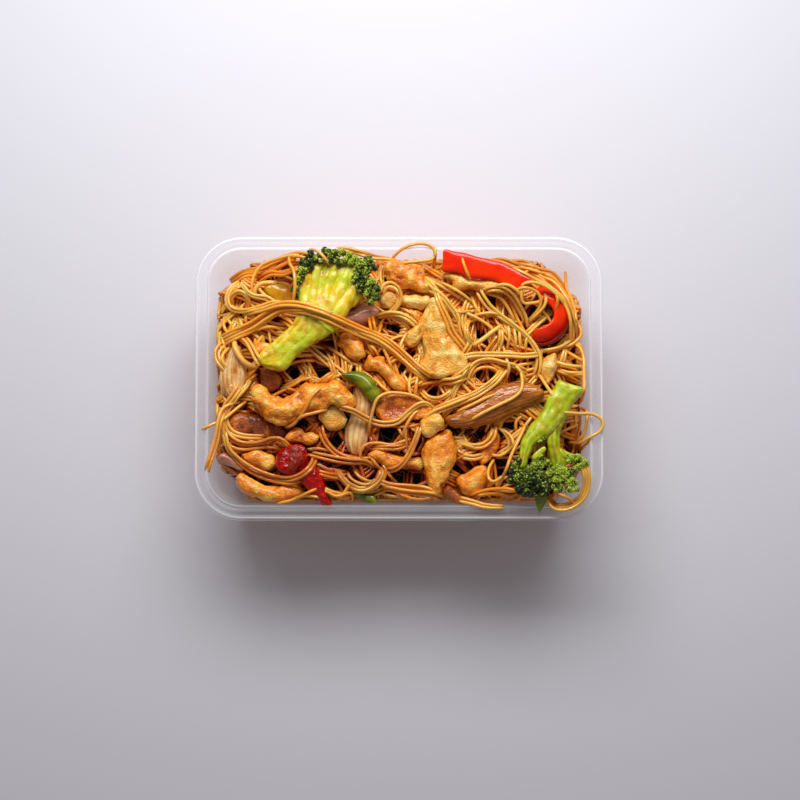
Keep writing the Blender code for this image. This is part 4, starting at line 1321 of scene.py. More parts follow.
@dataclass(frozen=True)
class Floret:
    """A broccoli floret lying on its side: a flat stalk that spreads, with branches and heads of buds.

    Each head of buds is a group of small heads, and each of those is a dark ball, painted shade between the
    buds, with small balls at even steps over it, whose places follow the golden angle.
    """

    node: str
    stems: tuple[Stem, ...]
    clusters: tuple[Cluster, ...]
    branches: tuple[Branch, ...] = ()
    lift: float = 2.8
    bud: float = 0.46
    inner: float = 0.52
    reach: float = 0.6
    leaf: Points = ()
    finish: BroccoliFinish = BroccoliFinish()

    @staticmethod
    def scattered(count: int) -> Array:
        """Even directions by the golden angle."""
        step = np.arange(count) + 0.5
        tilt = np.arccos(1 - 2 * step / count)
        turn = step * math.pi * (3 - math.sqrt(5))
        return np.column_stack([np.sin(tilt) * np.cos(turn), np.sin(tilt) * np.sin(turn), np.cos(tilt)])

    def heads(self, level: float) -> list[Skin]:
        """The heads of buds: the small heads, dark as painted shade between the buds, and the buds on them."""
        draw = np.random.default_rng(len(self.clusters))
        ball, grain = small_ball(7, 12), small_ball(3, 6)
        middles, radii, shades = [], [], []
        for cluster in self.clusters:
            count = max(3, int(1.15 * cluster.radius**1.4 + 2))
            way = self.scattered(count)
            spread = cluster.radius * self.reach * draw.uniform(0.75, 1.1, count)[:, None]
            middles.append(np.array([cluster.x, cluster.y, level + self.lift]) + way * spread)
            radii.append(cluster.radius * self.inner * draw.uniform(0.7, 1.15, count))
            # Painted shade: small heads lower in a cluster are darker.
            shades.append(np.clip(cluster.shade + draw.normal(0, 0.14, count) - 0.12 * way[:, 2], 0, 1))
        middle, radius, shade = np.concatenate(middles), np.concatenate(radii), np.concatenate(shades)
        # Painted shade: the inner balls are darker than the buds, for the gaps between them.
        dark = np.minimum(1, shade + 0.5)
        inner = Skin.copies(ball, middle, radius - 0.15, {"shade": dark, "bud": np.ones(len(dark))})
        places, sizes, tones = [], [], []
        for centre, size, tone in zip(middle, radius, shade):
            way = self.scattered(int(9 + 16 * size**2))
            way = way[way[:, 2] > -0.45]
            bumps = size * (1 + 0.16 * value_noise(way + centre, 0.6, 7))[:, None]
            places.append(centre + way * bumps)
            sizes.append(self.bud * draw.uniform(0.6, 1.2, len(way)))
            # Painted shade: buds low on a small head are darker and those on top lighter.
            tones.append(np.clip(tone + draw.normal(0, 0.24, len(way)) - 0.3 * (way[:, 2] - 0.5), 0, 1))
        tone = np.concatenate(tones)
        outer = Skin.copies(grain, np.concatenate(places), np.concatenate(sizes),
                            {"shade": tone, "bud": np.ones(len(tone))})
        return [inner, outer]

    def skins(self) -> list[Skin]:
        """All parts of the floret."""
        low, high = (np.array(corner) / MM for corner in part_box(self.node))
        level = (low[2] + high[2]) / 2
        parts = self.heads(level)
        for number, stem in enumerate(self.stems):
            made = stem.lens.skin(level + stem.lift, stem.thick, number + 40)
            groove, fold = made.values["groove"], made.values["fold"]
            # Painted shade: stems are darker in their furrows, folds and underside.
            shade = np.clip(stem.shade + 0.35 * (groove - 0.5) + 0.5 * (fold - 0.5), 0, 1)
            parts.append(Skin(made.points, made.quads, made.triangles, {"shade": shade, "bud": 0 * shade}))
        parts.extend(branch.skin(level) for branch in self.branches)
        if self.leaf:
            path = smooth_way(self.leaf, 0.4)
            share = np.linspace(0, 1, len(path))
            path = np.column_stack([path, level + 0.4 - 3.0 * share])
            radius = 2.6 * np.sin(math.pi * (0.25 + 0.73 * share)) ** 1.2 + 0.1
            values = {"shade": np.full(len(path), 0.45), "bud": np.ones(len(path))}
            parts.append(rod(path, radius, 20, values, 0.22))
        return parts

    def build(self) -> tuple[bpy.types.Object, list[Skin]]:
        """The floret as one piece, and its parts."""
        parts = self.skins()
        made = Skin.joined(parts).build(f"{self.node}_floret", self.finish.material())
        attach(made, ROOT)
        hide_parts(self.node)
        return made, parts


FLORETS: tuple[Floret, ...] = (
    Floret(
        "broccoli_left",
        (
            Stem(Lens(pairs(-59, 6.8, -56.4, 4, -51.6, 2.2, -48.2, 2, -46, 4.2, -42.6, 8.2, -38.3, 11.6,
                -34.4, 14.2, -31, 16.2, -27, 18.6, -23.8, 21.2, -23.4, 25, -26, 30, -30.4, 33.4, -35, 34.4,
                -39.4, 33.6, -41.4, 30.6, -42.2, 25.8, -44, 22.4, -48.4, 18, -53, 13.8, -57, 10.4),
                      blunt=14.0, square=0.62, lumps=0.4, grain=0.1, ridges=0.06, ridge_pitch=5.0), 0.26,
                      0.0, 7.4),
            Stem(Lens(pairs(-36, 24, -41, 30, -41.6, 37, -40, 43, -34, 47.6, -27, 48.6, -20, 47, -16, 42,
                -15.6, 36, -17, 31, -23, 26.4, -29, 23),
                      blunt=6.0, lumps=0.4, grain=0.1), 0.3, -0.9, 5.0),
        ),
        (
            Cluster(-38.6, 47.8, 2.9, 0.85), Cluster(-37.0, 50.6, 2.0, 0.75), Cluster(-40.8, 44.0, 2.0, 0.4),
            Cluster(-42.6, 39.6, 2.0, 0.5), Cluster(-43.4, 36.4, 1.6, 0.6), Cluster(-43.2, 33.6, 1.4, 0.8),
            Cluster(-42.2, 30.8, 1.1, 0.95), Cluster(-36.8, 45.4, 1.4, 0.9), Cluster(-30.4, 51.4, 2.6, 0.65),
            Cluster(-27.2, 50.8, 2.3, 0.6), Cluster(-28.4, 48.2, 1.8, 0.75), Cluster(-24.0, 51.4, 1.7, 0.35),
            Cluster(-33.4, 50.2, 1.5, 0.7), Cluster(-21.0, 50.2, 2.0, 0.35), Cluster(-18.6, 48.4, 2.2, 0.3),
            Cluster(-15.6, 46.8, 2.4, 0.5), Cluster(-12.6, 47.8, 2.4, 0.65), Cluster(-11.2, 45.2, 1.9, 0.9),
            Cluster(-14.0, 44.0, 1.9, 0.45), Cluster(-16.6, 42.6, 2.0, 0.55), Cluster(-18.4, 40.2, 2.0, 0.6),
            Cluster(-15.0, 39.4, 2.3, 0.85), Cluster(-11.4, 38.6, 2.4, 0.4), Cluster(-15.6, 36.0, 1.9, 0.85),
            Cluster(-12.4, 34.8, 2.4, 0.45), Cluster(-9.8, 36.0, 1.8, 0.6), Cluster(-10.0, 33.0, 2.0, 0.7),
            Cluster(-11.8, 30.8, 1.6, 0.45),
            Cluster(-35.2, 48.4, 1.6, 0.7), Cluster(-32.4, 47.8, 1.3, 0.5),
            Cluster(-29.6, 49.0, 1.4, 0.6), Cluster(-26.0, 48.6, 1.5, 0.5), Cluster(-22.8, 48.0, 1.5, 0.4),
            Cluster(-20.0, 47.4, 1.5, 0.4), Cluster(-17.6, 44.8, 1.5, 0.5), Cluster(-16.8, 37.8, 1.4, 0.7),
            Cluster(-39.2, 44.0, 1.3, 0.5), Cluster(-40.6, 41.0, 1.1, 0.5), Cluster(-25.0, 46.8, 1.0, 0.8),
        ),
        (
            Branch(pairs(-36.4, 24, -39.2, 30, -39.8, 36.4, -38.6, 42.6), 3.6, 2.2, (0.6, -0.4), 0.05),
            Branch(pairs(-36, 24, -35.9, 31, -35.4, 38.4, -34.4, 44.6, -33.4, 48), 3.6, 1.7, (1.2, 0.4), 0.0),
            Branch(pairs(-35, 28, -33.4, 36, -31.4, 41.4, -30.6, 46), 2.4, 1.2, (1.2, 0.0), 0.25),
            Branch(pairs(-33.6, 24, -31.4, 31, -29.2, 38, -27.2, 43.4, -26.4, 47.6), 3.8, 1.8, (1.4, 0.2),
                0.14),
            Branch(pairs(-32, 22, -27.8, 30, -24.4, 36.6, -21.8, 42.4, -20.4, 46.6), 4.3, 2.3, (1.5, 0.2),
                0.1),
            Branch(pairs(-31, 20.6, -25.4, 27.6, -20.6, 34, -17.4, 39.4, -15.4, 43.6), 4.8, 2.6, (1.0, 0.0),
                0.2),
            Branch(pairs(-31.4, 21.6, -27, 26, -21.6, 30.4, -16, 34.6), 3.6, 1.8, (-0.4, -0.8), 0.3),
        ),
    ),
    Floret(
        "broccoli_right",
        (
            Stem(Lens(pairs(66.6, -1.8, 69.9, -2.7, 76.9, -5.5, 75, -8.9, 71.4, -13.6, 68, -18.4,
                64.8, -22.4, 60.6, -26, 56.8, -29, 54.4, -33.4, 52.4, -38.6, 49.6, -38.2, 49.8, -32,
                51.2, -26, 54, -21.2, 58.5, -16, 61.4, -10.4, 63.8, -5.6),
                      blunt=22.0, lumps=0.5, grain=0.1, ridges=0.08, ridge_pitch=4.4), 0.3, 0.8, 7.4),
            Stem(Lens(pairs(70, -7, 74, -9, 71.6, -13.6, 69, -18.6, 67.8, -24, 67.6, -29.6, 69.6, -33.6,
                69, -39.4, 65, -40.4, 62.4, -36, 61.6, -30, 61.6, -24.6, 63.6, -18.6, 66.4, -12),
                      blunt=14.0, lumps=0.4, grain=0.12, ridges=0.1, ridge_pitch=2.8), 0.5, -0.8, 6.4),
            Stem(Lens(pairs(55.2, -33.8, 57, -31.6, 60, -29.6, 61, -31, 58.6, -33.6, 56.4, -35.2),
                      blunt=8.0, lumps=0.1, grain=0.05), 0.0, 3.8, 1.8),
            Stem(Lens(pairs(67, -30, 70, -31.6, 75.6, -34, 75, -36.4, 70, -36, 66.6, -34),
                      blunt=8.0, lumps=0.2, grain=0.1), 0.5, 0.6, 3.6),
        ),
        (
            Cluster(57.8, -24.6, 1.8, 0.6), Cluster(60.0, -26.4, 1.4, 0.5), Cluster(58.6, -27.6, 1.2, 0.4),
            Cluster(49.6, -36.4, 2.3, 0.75), Cluster(47.9, -39.4, 2.6, 0.85), Cluster(47.2, -43.0, 2.4, 0.9),
            Cluster(50.8, -42.0, 3.0, 0.65), Cluster(50.4, -46.4, 2.8, 0.9), Cluster(54.4, -44.4, 3.1, 0.8),
            Cluster(53.8, -39.6, 2.6, 0.5), Cluster(57.6, -37.0, 2.7, 0.4), Cluster(58.6, -34.4, 1.8, 0.45),
            Cluster(58.4, -41.6, 3.0, 0.6), Cluster(57.4, -46.6, 2.8, 0.9), Cluster(62.0, -45.4, 2.7, 0.7),
            Cluster(52.6, -48.6, 2.0, 0.95), Cluster(63.4, -40.2, 2.6, 0.3), Cluster(67.2, -39.4, 2.5, 0.15),
            Cluster(70.6, -40.4, 2.3, 0.4), Cluster(68.0, -43.4, 2.5, 0.35), Cluster(71.6, -44.2, 2.1, 0.2),
            Cluster(70.4, -47.4, 1.7, 0.4), Cluster(73.4, -47.2, 1.4, 0.05), Cluster(71.4, -35.0, 2.1, 0.3),
            Cluster(74.4, -34.4, 2.2, 0.12), Cluster(77.0, -36.4, 1.9, 0.08), Cluster(64.6, -44.0, 2.3, 0.4),
            Cluster(74.2, -38.2, 1.9, 0.25), Cluster(61.6, -36.4, 1.9, 0.4), Cluster(66.0, -47.0, 1.6, 0.5),
            Cluster(55.4, -49.4, 1.7, 0.95), Cluster(60.6, -49.0, 1.8, 0.85), Cluster(67.0, -46.4, 1.5, 0.3),
            Cluster(56.2, -34.0, 1.2, 0.6),
        ),
        leaf=pairs(59.4, -46, 59.2, -50, 58.8, -53.4, 58.4, -56.8),
        finish=BroccoliFinish(
            "broccoli_right", paint(186, 194, 18), paint(92, 120, 6), paint(228, 230, 104),
            paint(190, 150, 10)
        ),
    ),
)


@dataclass(frozen=True)
class Run:
    """Noodles that lie side by side along one way on top of the heap.

    way holds places in plan, tone goes from pale to amber, count is how many noodles there are, pitch how far
    apart they lie, and dip how deep both ends sink.
    """

    way: Points
    tone: float = 0.45
    count: int = 1
    pitch: float = 1.7
    dip: float = 2.2
    radius: float = 0.71


RUNS: tuple[Run, ...] = (
    Run(pairs(-72, 43, -66, 46, -60, 46.8, -52, 49.5, -44, 51, -38, 50), 0.8, 2, pitch=1.8),
    Run(pairs(-71, 41.5, -65, 44.4, -58, 44.6, -50, 46, -43, 48.6), 0.75, 2, pitch=1.8),
    Run(pairs(-60, 42, -54, 44, -48, 43, -42, 45), 0.8, 2, pitch=1.8),
    Run(pairs(-62.5, 36, -62.3, 40, -61, 44, -58, 47.5, -54, 49, -47, 50.2, -41, 50.6), 0.3),
    Run(pairs(-46, 51, -45.8, 47, -44.2, 44, -43.6, 38, -44.5, 30.5), 0.35),
    Run(pairs(-73.8, 27.5, -74.2, 24, -73.5, 21, -71, 18), 0.4),
    Run(pairs(-74, 27.5, -71.5, 24, -70, 21), 0.5),
    Run(pairs(-68, 27.5, -66.5, 24, -65.5, 21, -64, 18.5), 0.3),
    Run(pairs(-64.5, 27.5, -65, 24.5, -63.6, 22), 0.5),
    Run(pairs(-60.5, 25.8, -57, 23, -54, 20.5, -51, 17.5), 0.4),
    Run(pairs(-50.5, 25.5, -47, 23, -44.6, 20.6), 0.5, 2, pitch=1.8),
    Run(pairs(-64.5, 20.4, -60, 20.2, -56, 21.2, -52, 21.2, -47.6, 19.4), 0.3),
    Run(pairs(-67, 19, -63.6, 15.6, -61.2, 11.6, -59.2, 7.6, -57.4, 4.8), 0.35, 2, pitch=1.8),
    Run(pairs(-69.8, 16.4, -69.3, 12.8, -67.6, 9.4, -64.6, 6.2, -60.6, 4.4), 0.05, dip=1.0, radius=1.2),
    Run(pairs(-71, 31, -71, 34.4, -68.2, 36.6, -65.2, 35.6, -63.4, 32.6, -64.6, 29.6), 0.5, 2),
    Run(pairs(-61, 35.2, -60.8, 37.8, -58.6, 40, -55, 40.6, -51, 40.4), 0.1, dip=1.2, radius=1.0),
    Run(pairs(-59.5, 38.4, -57.2, 35.4, -53.4, 32.4, -49.5, 29.6), 0.3),
    Run(pairs(-67.4, 41.4, -65.2, 38.2, -63, 35.6, -60, 34.3, -56, 33.6, -52, 31.2, -47.4, 27.8), 0.25, 2,
        pitch=1.6),
    Run(pairs(-67, 41.4, -70.6, 38.8, -72.4, 35, -72, 31.4, -69.4, 29.2, -64, 28.6, -58, 29.8, -52, 31.2,
        -46, 30), 0.3, 2),
    Run(pairs(-75, 16.2, -68, 19.2, -62, 21.8, -56, 25.4, -50, 28.2, -45, 28.2, -38, 27.2, -31, 25,
        -24, 22.2, -16, 18.9, -9, 16.3, -3, 12.6, 3, 7.4, 8, 2.8, 13, -0.6), 0.5, 4, pitch=1.45),
    Run(pairs(-66, 27.4, -58, 28.6, -50, 30.2, -42, 29.6, -34, 27.2, -27, 24.4), 0.35, 2, pitch=1.5),
    Run(pairs(-74, 15.5, -76.6, 12, -76.6, 8.6, -74.6, 5.4, -72.6, 3), 0.45, 2),
    Run(pairs(-71.5, 13.5, -74, 10.2, -74, 7, -71.6, 4.4), 0.3),
    Run(pairs(-62.5, 0, -64.5, -4, -68, -8, -71, -12, -72.7, -16, -72, -20, -69.5, -23, -65, -24.6,
        -60, -25, -56, -25), 0.25, 2, pitch=1.6),
    Run(pairs(-66, -2, -70, -8, -73, -12, -74, -18, -72.5, -23, -69, -26.4, -64, -27.9, -58, -27.4,
        -54, -26, -50.6, -25.8, -48, -27, -46, -29), 0.4, 2, pitch=1.6),
    Run(pairs(-73.6, -16, -73.2, -24, -71, -28, -66, -29.8, -60, -29.5, -55, -28.8), 0.5),
    Run(pairs(-73.2, -22, -71.6, -29, -68.5, -33, -63.5, -37, -58, -40, -52, -42.1, -46, -43, -41, -41.5,
        -37.5, -38.6, -35.7, -35, -35.9, -32.4), 0.3, 2, pitch=1.6),
    Run(pairs(-70.5, -32.5, -66, -37.2, -60, -41, -53, -43.4, -46, -44.6, -41, -43.4), 0.55),
    Run(pairs(-82.6, -21.6, -78, -19.6, -73.4, -17.4, -67.5, -12.5, -64, -9.5), 0.35),
    Run(pairs(-80.6, -39.2, -78.8, -32.6, -77.2, -25.5, -74.4, -13.5, -66, -9.5), 0.35),
    Run(pairs(-79.6, -39.8, -77.8, -33, -76.2, -26.5, -75.4, -21, -73, -14), 0.4),
    Run(pairs(-75.6, -29.2, -73, -27.6, -70, -27.8), 0.3),
    Run(pairs(-31, -3.6, -36, -8, -39, -13, -42, -17.4, -45, -20, -47.6, -20.6), 0.4),
    Run(pairs(-30, -13.4, -35, -15.2, -40, -16.8, -43.4, -19.4), 0.2),
    Run(pairs(-49, -4.4, -45, -2.8, -42, -1, -39, 2), 0.7, 2, pitch=1.8),
    Run(pairs(-31, -29, -36, -30, -38.4, -30.2, -34, -29.9, -28, -31.4, -22, -33, -16, -34, -11, -33.4),
        0.5),
    Run(pairs(-32.6, -20, -32, -24, -29.6, -28.4, -26, -32, -20, -34.6, -13, -35), 0.6, 2),
    Run(pairs(-38, -31.4, -32, -33, -26, -34.4, -20, -35.4, -14, -35.6, -9, -38.4), 0.5, 2),
    Run(pairs(-34, -40, -30, -41.2, -25, -41.6, -20, -41), 0.5, 2, pitch=1.8),
    Run(pairs(-31.6, -47, -28, -48.6, -24, -49.6, -20, -49.2), 0.5, 2, pitch=1.8),
    Run(pairs(-54, -53, -46, -52, -40, -50, -33, -50.6), 0.6),
    Run(pairs(-44, -51.2, -38, -48.2, -33, -46), 0.7),
    Run(pairs(-26.6, 54.2, -22, 54, -16, 52.6, -10, 51.2, -5, 50.9, -1, 50), 0.35, 2, pitch=1.6),
    Run(pairs(-38, 54, -35, 52.6, -31.6, 49.4, -29, 46.4), 0.25),
    Run(pairs(-7.4, 35, -6.2, 38, -3.4, 39, -0.8, 37.4, 0.4, 34.4, -0.5, 31, -3, 28.4, -6, 26.6), 0.3, 2,
        pitch=1.5),
    Run(pairs(-9, 25.8, -5, 26.8, 0, 26.4, 4, 24.4, 7, 22), 0.1, 2, pitch=1.6),
    Run(pairs(-12.2, 26, -11.4, 22, -10.4, 18), 0.8, 2, pitch=2.0),
    Run(pairs(-7.2, 23.4, -8.2, 20.6, -9, 18), 0.8),
    Run(pairs(-31, 13.6, -26, 10.4, -22, 7.6, -18.6, 5), 0.5),
    Run(pairs(-31, 10.4, -28, 8.6, -25, 6.4), 0.6),
    Run(pairs(10.4, 48.4, 14, 45.4, 19, 42), 0.85, 2, pitch=1.8),
    Run(pairs(11.4, 43.4, 15, 41.2, 19, 39, 23, 36.4, 27, 33.8, 31.6, 30.4), 0.2, 2),
    Run(pairs(10.6, 41.6, 14, 38, 17, 34.2, 20, 30.4, 23.4, 26.6), 0.3, 2),
    Run(pairs(13, 37.4, 18, 33.6, 21.4, 29.6, 24.4, 25.4, 27, 20), 0.25, 2),
    Run(pairs(15.2, 36.6, 17.2, 30.6, 20, 24.6, 22.4, 18.6, 26, 14, 29.4, 9.6), 0.5, 2),
    Run(pairs(23, 30, 25, 25, 25.2, 20, 27.4, 15), 0.4),
    Run(pairs(29.4, 33, 27.6, 27, 27.6, 21, 29.6, 15, 27, 10), 0.35, 2),
    Run(pairs(21.6, 28, 26, 27.6, 31, 28.6), 0.4),
    Run(pairs(31.6, 7, 28.4, 3, 24, -0.4, 19, -2.6), 0.4, 2),
    Run(pairs(33, 52.4, 38, 51.2, 44, 50.4, 49, 48.6, 53, 47.4), 0.6, 2),
    Run(pairs(50, 48.4, 55, 47.4, 60, 46, 65, 45.2, 68.6, 41.6, 70.4, 37.6), 0.55, 2, pitch=1.8),
    Run(pairs(48, 46.4, 53, 44, 58, 41.4, 62, 39.4, 66.4, 35.8, 70, 31.8, 72.2, 26, 72.6, 20, 72, 13), 0.35,
        2),
    Run(pairs(60, 44.4, 65.6, 41.4, 69.6, 36, 72.6, 30, 74.6, 23, 75.6, 17), 0.5, 2),
    Run(pairs(71.1, 46.6, 71.2, 40, 72.6, 35.6, 74.2, 30, 74.8, 24), 0.5, dip=0.5),
    Run(pairs(75.4, 24.4, 77, 20.6, 76.6, 17.6, 73.4, 14.6, 69, 12.8, 64, 11.4, 59.6, 11.2), 0.3),
    Run(pairs(74.4, 15.6, 77.4, 12.4, 78.6, 8, 78.6, 3, 78.2, -4, 77.6, -10), 0.3, 2, pitch=1.6),
    Run(pairs(51.6, 39, 51.4, 35, 52.2, 31.4, 55.6, 31.4, 59, 32.4, 60.6, 35.6), 0.4),
    Run(pairs(50, 37.6, 54, 39.4, 58.6, 39.2, 63, 37.4, 67, 34.4, 70, 30.6), 0.15),
    Run(pairs(46.6, 34.6, 51.4, 36.8, 56, 36.4, 59, 34, 59.2, 30, 56.4, 26, 53, 22.6), 0.4),
    Run(pairs(60.4, 37, 61.6, 34, 61, 30.2, 58, 26.6, 54, 22.8), 0.2),
    Run(pairs(65.6, 37, 66.8, 32.6, 66, 28), 0.4),
    Run(pairs(63, 26.8, 59, 22.8, 55, 18.6, 51.6, 14.6), 0.1),
    Run(pairs(60, 26, 56.4, 22.4, 53, 19.4), 0.3),
    Run(pairs(34.4, 35.4, 38, 36.8, 43, 36.6, 47, 34.2, 50, 30, 52.4, 25.6, 53.4, 21), 0.25, 2),
    Run(pairs(39, 37.4, 44, 38.2, 48, 36.8, 51, 34), 0.1),
    Run(pairs(37, 35, 42.4, 33.4, 45.6, 30, 48, 26, 50, 22), 0.3),
    Run(pairs(33.4, 36.4, 35.2, 33, 38, 29.4, 42, 26.2, 46, 23.4, 50, 20.6, 54, 17, 57, 13, 58.6, 9,
        58.4, 4, 56.8, -0.6), 0.2, 2),
    Run(pairs(30, 36, 31.4, 31, 33.6, 27, 36.4, 24.6), 0.3),
    Run(pairs(29.6, 26, 34, 27, 39, 27.4, 43.4, 26.4), 0.3),
    Run(pairs(28, 27.6, 32.6, 25.4, 37, 22.6, 39.8, 19.4, 39.4, 15.6), 0.3),
    Run(pairs(29.6, 25, 28.2, 20.6, 29, 16.4, 32, 13), 0.35, 2),
    Run(pairs(31, 13.6, 35, 16.2, 39, 19.2, 43.6, 22.4), 0.1, dip=1.6, radius=1.0),
    Run(pairs(46, 22.4, 46.2, 17, 45, 11.6), 0.4),
    Run(pairs(48.2, 21.4, 48.8, 16, 49, 10.8), 0.3),
    Run(pairs(50.6, 20.4, 51, 15.6, 51.4, 10.6)),
    Run(pairs(42.4, 21.6, 42.8, 17, 41.4, 11.6), 0.4, 2, pitch=1.9),
    Run(pairs(53.8, 18, 53, 14, 53.6, 10.6), 0.3),
    Run(pairs(26.4, 8.4, 31, 9.6, 38, 9.9, 46, 9.6, 53, 9, 59.4, 9.6), 0.2, 2, pitch=1.6),
    Run(pairs(27, -3, 29.6, 3, 33.2, 6.6, 38.4, 7.4, 43.6, 6.2, 49, 4.6, 55, 2), 0.3, 2, pitch=1.6),
    Run(pairs(45, 8.4, 46.2, 4, 44.6, -1.4), 0.3),
    Run(pairs(30, -1.4, 31.4, 2.2, 35, 4.4, 40, 4, 43, 1), 0.6),
    Run(pairs(47, 6.6, 50.6, 2.6, 53.4, -2), 0.3),
    Run(pairs(70.2, 13, 69, 8.4, 67.2, 4.6), 0.3, 2, pitch=1.8),
    Run(pairs(70.6, 11.4, 75, 8.4, 78.4, 6.8), 0.3),
    Run(pairs(65.8, 6.8, 70, 5.2, 75, 4.6, 79, 5.2), 0.15),
    Run(pairs(66.6, 3.8, 71.4, 1.8, 78, 1.6), 0.45, 2),
    Run(pairs(59.6, 12, 64.6, 12.4, 69, 13.8, 73.6, 16.8), 0.3),
    Run(pairs(14.6, -14.4, 20, -12.4, 26, -10, 32, -7.4, 37, -4, 41, -0.4, 44, 4), 0.3, 3, pitch=1.6),
    Run(pairs(24, -14.4, 30, -11.6, 36, -8.8, 42, -6.6), 0.4),
    Run(pairs(29.6, -18.4, 36, -15, 43, -11.6, 48, -9, 51, -6, 51.6, -2, 51, 3), 0.2),
    Run(pairs(58.4, 1.6, 61, -3.6, 64.8, -10.4), 0.05),
    Run(pairs(56, -15.6, 52.4, -20.6, 49.6, -26, 46.4, -30, 42.6, -32.8, 38.4, -32.4), 0.1),
    Run(pairs(53, -19.4, 50.2, -25.8, 47, -33, 44.4, -40, 40.4, -47.4), 0.4),
    Run(pairs(39.8, -19.6, 39.2, -24.6, 35.4, -28.4, 30, -29, 25.4, -27), 0.3, 2, pitch=1.6),
    Run(pairs(40.8, -20.4, 44, -23.2, 46, -27, 45.6, -31.4), 0.3),
    Run(pairs(42.8, -20.8, 46.8, -24.6, 48, -29), 0.3),
    Run(pairs(52.6, -15.6, 49.4, -18.4, 49.2, -22.6), 0.6),
    Run(pairs(40.6, -33.6, 38, -38, 37.6, -42, 39.6, -43.6, 43.4, -41.4), 0.2),
    Run(pairs(66.5, -14.8, 75, -15.6, 80.4, -15.8, 84, -17.6, 85, -20.4, 83, -23.2, 79.6, -25.2,
        75.8, -27.4, 70.4, -26.6), 0.3),
    Run(pairs(78, -11, 78.2, -18, 77.2, -24, 73.4, -28.4), 0.4),
    Run(pairs(75.6, -15.6, 76, -20, 74.6, -26), 0.6),
    Run(pairs(80.4, -25, 78.4, -28.4, 75.6, -30.4), 0.3),
    Run(pairs(77, -38, 78.1, -43, 77.5, -48.6, 74.4, -52.6, 69.4, -54.8, 64.9, -54.2, 62.6, -50.9), 0.3, 3,
        pitch=1.35),
    Run(pairs(26.6, 49.8, 27.4, 46.6, 28.6, 43, 30, 40.4), 0.6, dip=1.0),
    Run(pairs(66, -48.6, 70, -50.4, 73.4, -52.8), 0.5),
    Run(pairs(25.6, -51, 31, -52.4, 36, -53.8, 43.4, -54.2), 0.4, 2, pitch=1.5, dip=0.4),
    Run(pairs(29.6, -50, 37, -48.2, 44, -48, 48, -48.8), 0.65, 2, pitch=1.8),
    Run(pairs(25.4, -32.4, 31, -33.6, 36, -32.4), 0.2, 2),
    Run(pairs(-24.6, -12.4, -19, -14.2, -14, -17, -9, -19.2, -4, -19.6, 0, -18.5, 4, -15, 8, -11.8,
        11.4, -11.2, 15, -13.4), 0.25, 2, pitch=1.5),
    Run(pairs(10.4, -17.4, 14.4, -14.4, 19, -12.4, 26, -9.4, 31, -7.4), 0.3),
    Run(pairs(-12.6, -25.4, -12, -20, -10.6, -14, -9, -9.4, -5, -6.7, 0, -6.4, 5, -7.2, 8.6, -8.9, 11, -11),
        0.2),
    Run(pairs(1.4, -25.2, 3, -20, 6, -15.2, 9.4, -12.4), 0.25),
    Run(pairs(8.6, -20.8, 6.6, -27, 4, -33, 1, -37, -3, -39, -6, -38.4), 0.25, 2, pitch=1.6),
    Run(pairs(-16, -34.4, -15.6, -30.4, -13, -28, -8, -27.4, -3, -28, 2, -26.4, 5.4, -25.4), 0.35),
    Run(pairs(-12, -29, -6, -29.4, 0, -29.4, 3.4, -27.8), 0.55, 2, pitch=1.5),
    Run(pairs(-26.4, -37.6, -24, -42, -20.5, -45.5, -16, -47.2, -11.5, -46, -8, -43, -6.6, -39.4, -8, -37),
        0.3, 3, pitch=1.3),
    Run(pairs(-22, -37.6, -20.4, -42, -17, -44.4, -13, -45, -9.6, -42.6), 0.2),
    Run(pairs(-19.2, -37.2, -17, -41, -13, -43.4, -10, -43.6), 0.1),
    Run(pairs(-12.4, -33.4, -9.6, -36.8, -7.6, -39), 0.1),
    Run(pairs(-6, -38.8, -3, -42, -0.8, -44), 0.6),
    Run(pairs(-8.4, -43.4, -3, -45, 3, -45.6, 10, -46.6, 14.6, -48.4), 0.4, 2, pitch=1.6),
    Run(pairs(-4.4, -45.6, -0.6, -48.8, -1.2, -52), 0.5, dip=0.6),
    Run(pairs(-7, -45.8, 3, -48, 12, -49.2, 18, -50.6), 0.6, 2),
    Run(pairs(-21, -44.8, -23, -48, -25.8, -51.6), 0.4, dip=0.6),
    Run(pairs(-30, -48, -26, -50, -20.4, -48.6, -19.6, -53), 0.5, dip=0.6),
    Run(pairs(24, -27, 28, -28.4, 33, -30.4), 0.2),
    Run(pairs(-11.4, 0.6, -8, -3.4, -4.6, -6.4), 0.4),
    Run(pairs(5.2, 1, 4.4, -3.6, 5, -7.6), 0.1),
    Run(pairs(7.8, 1, 7.2, -4, 6.6, -8), 0.5),
    Run(pairs(9, -4.6, 12, -8, 16, -8.9, 20, -7.4, 23.6, -4), 0.4, 2, pitch=1.6),
    Run(pairs(21.6, -9.6, 24, -4, 27, 0.4, 29.6, 4), 0.35, 2),
    Run(pairs(15, -4.4, 18, -1.8, 23, -1.6, 29, 0.6), 0.35, 2),
    Run(pairs(-2.8, 51, 0, 53.4, 4, 55.6, 9, 56.4, 13, 55.4, 14.8, 53, 14.2, 50.4, 11, 49.5, 6, 49,
        1.6, 48.4), 0.2, dip=0.6),
    Run(pairs(15.4, 54.8, 15.3, 51.4, 14.4, 47.4), 0.3, dip=0.6),
)

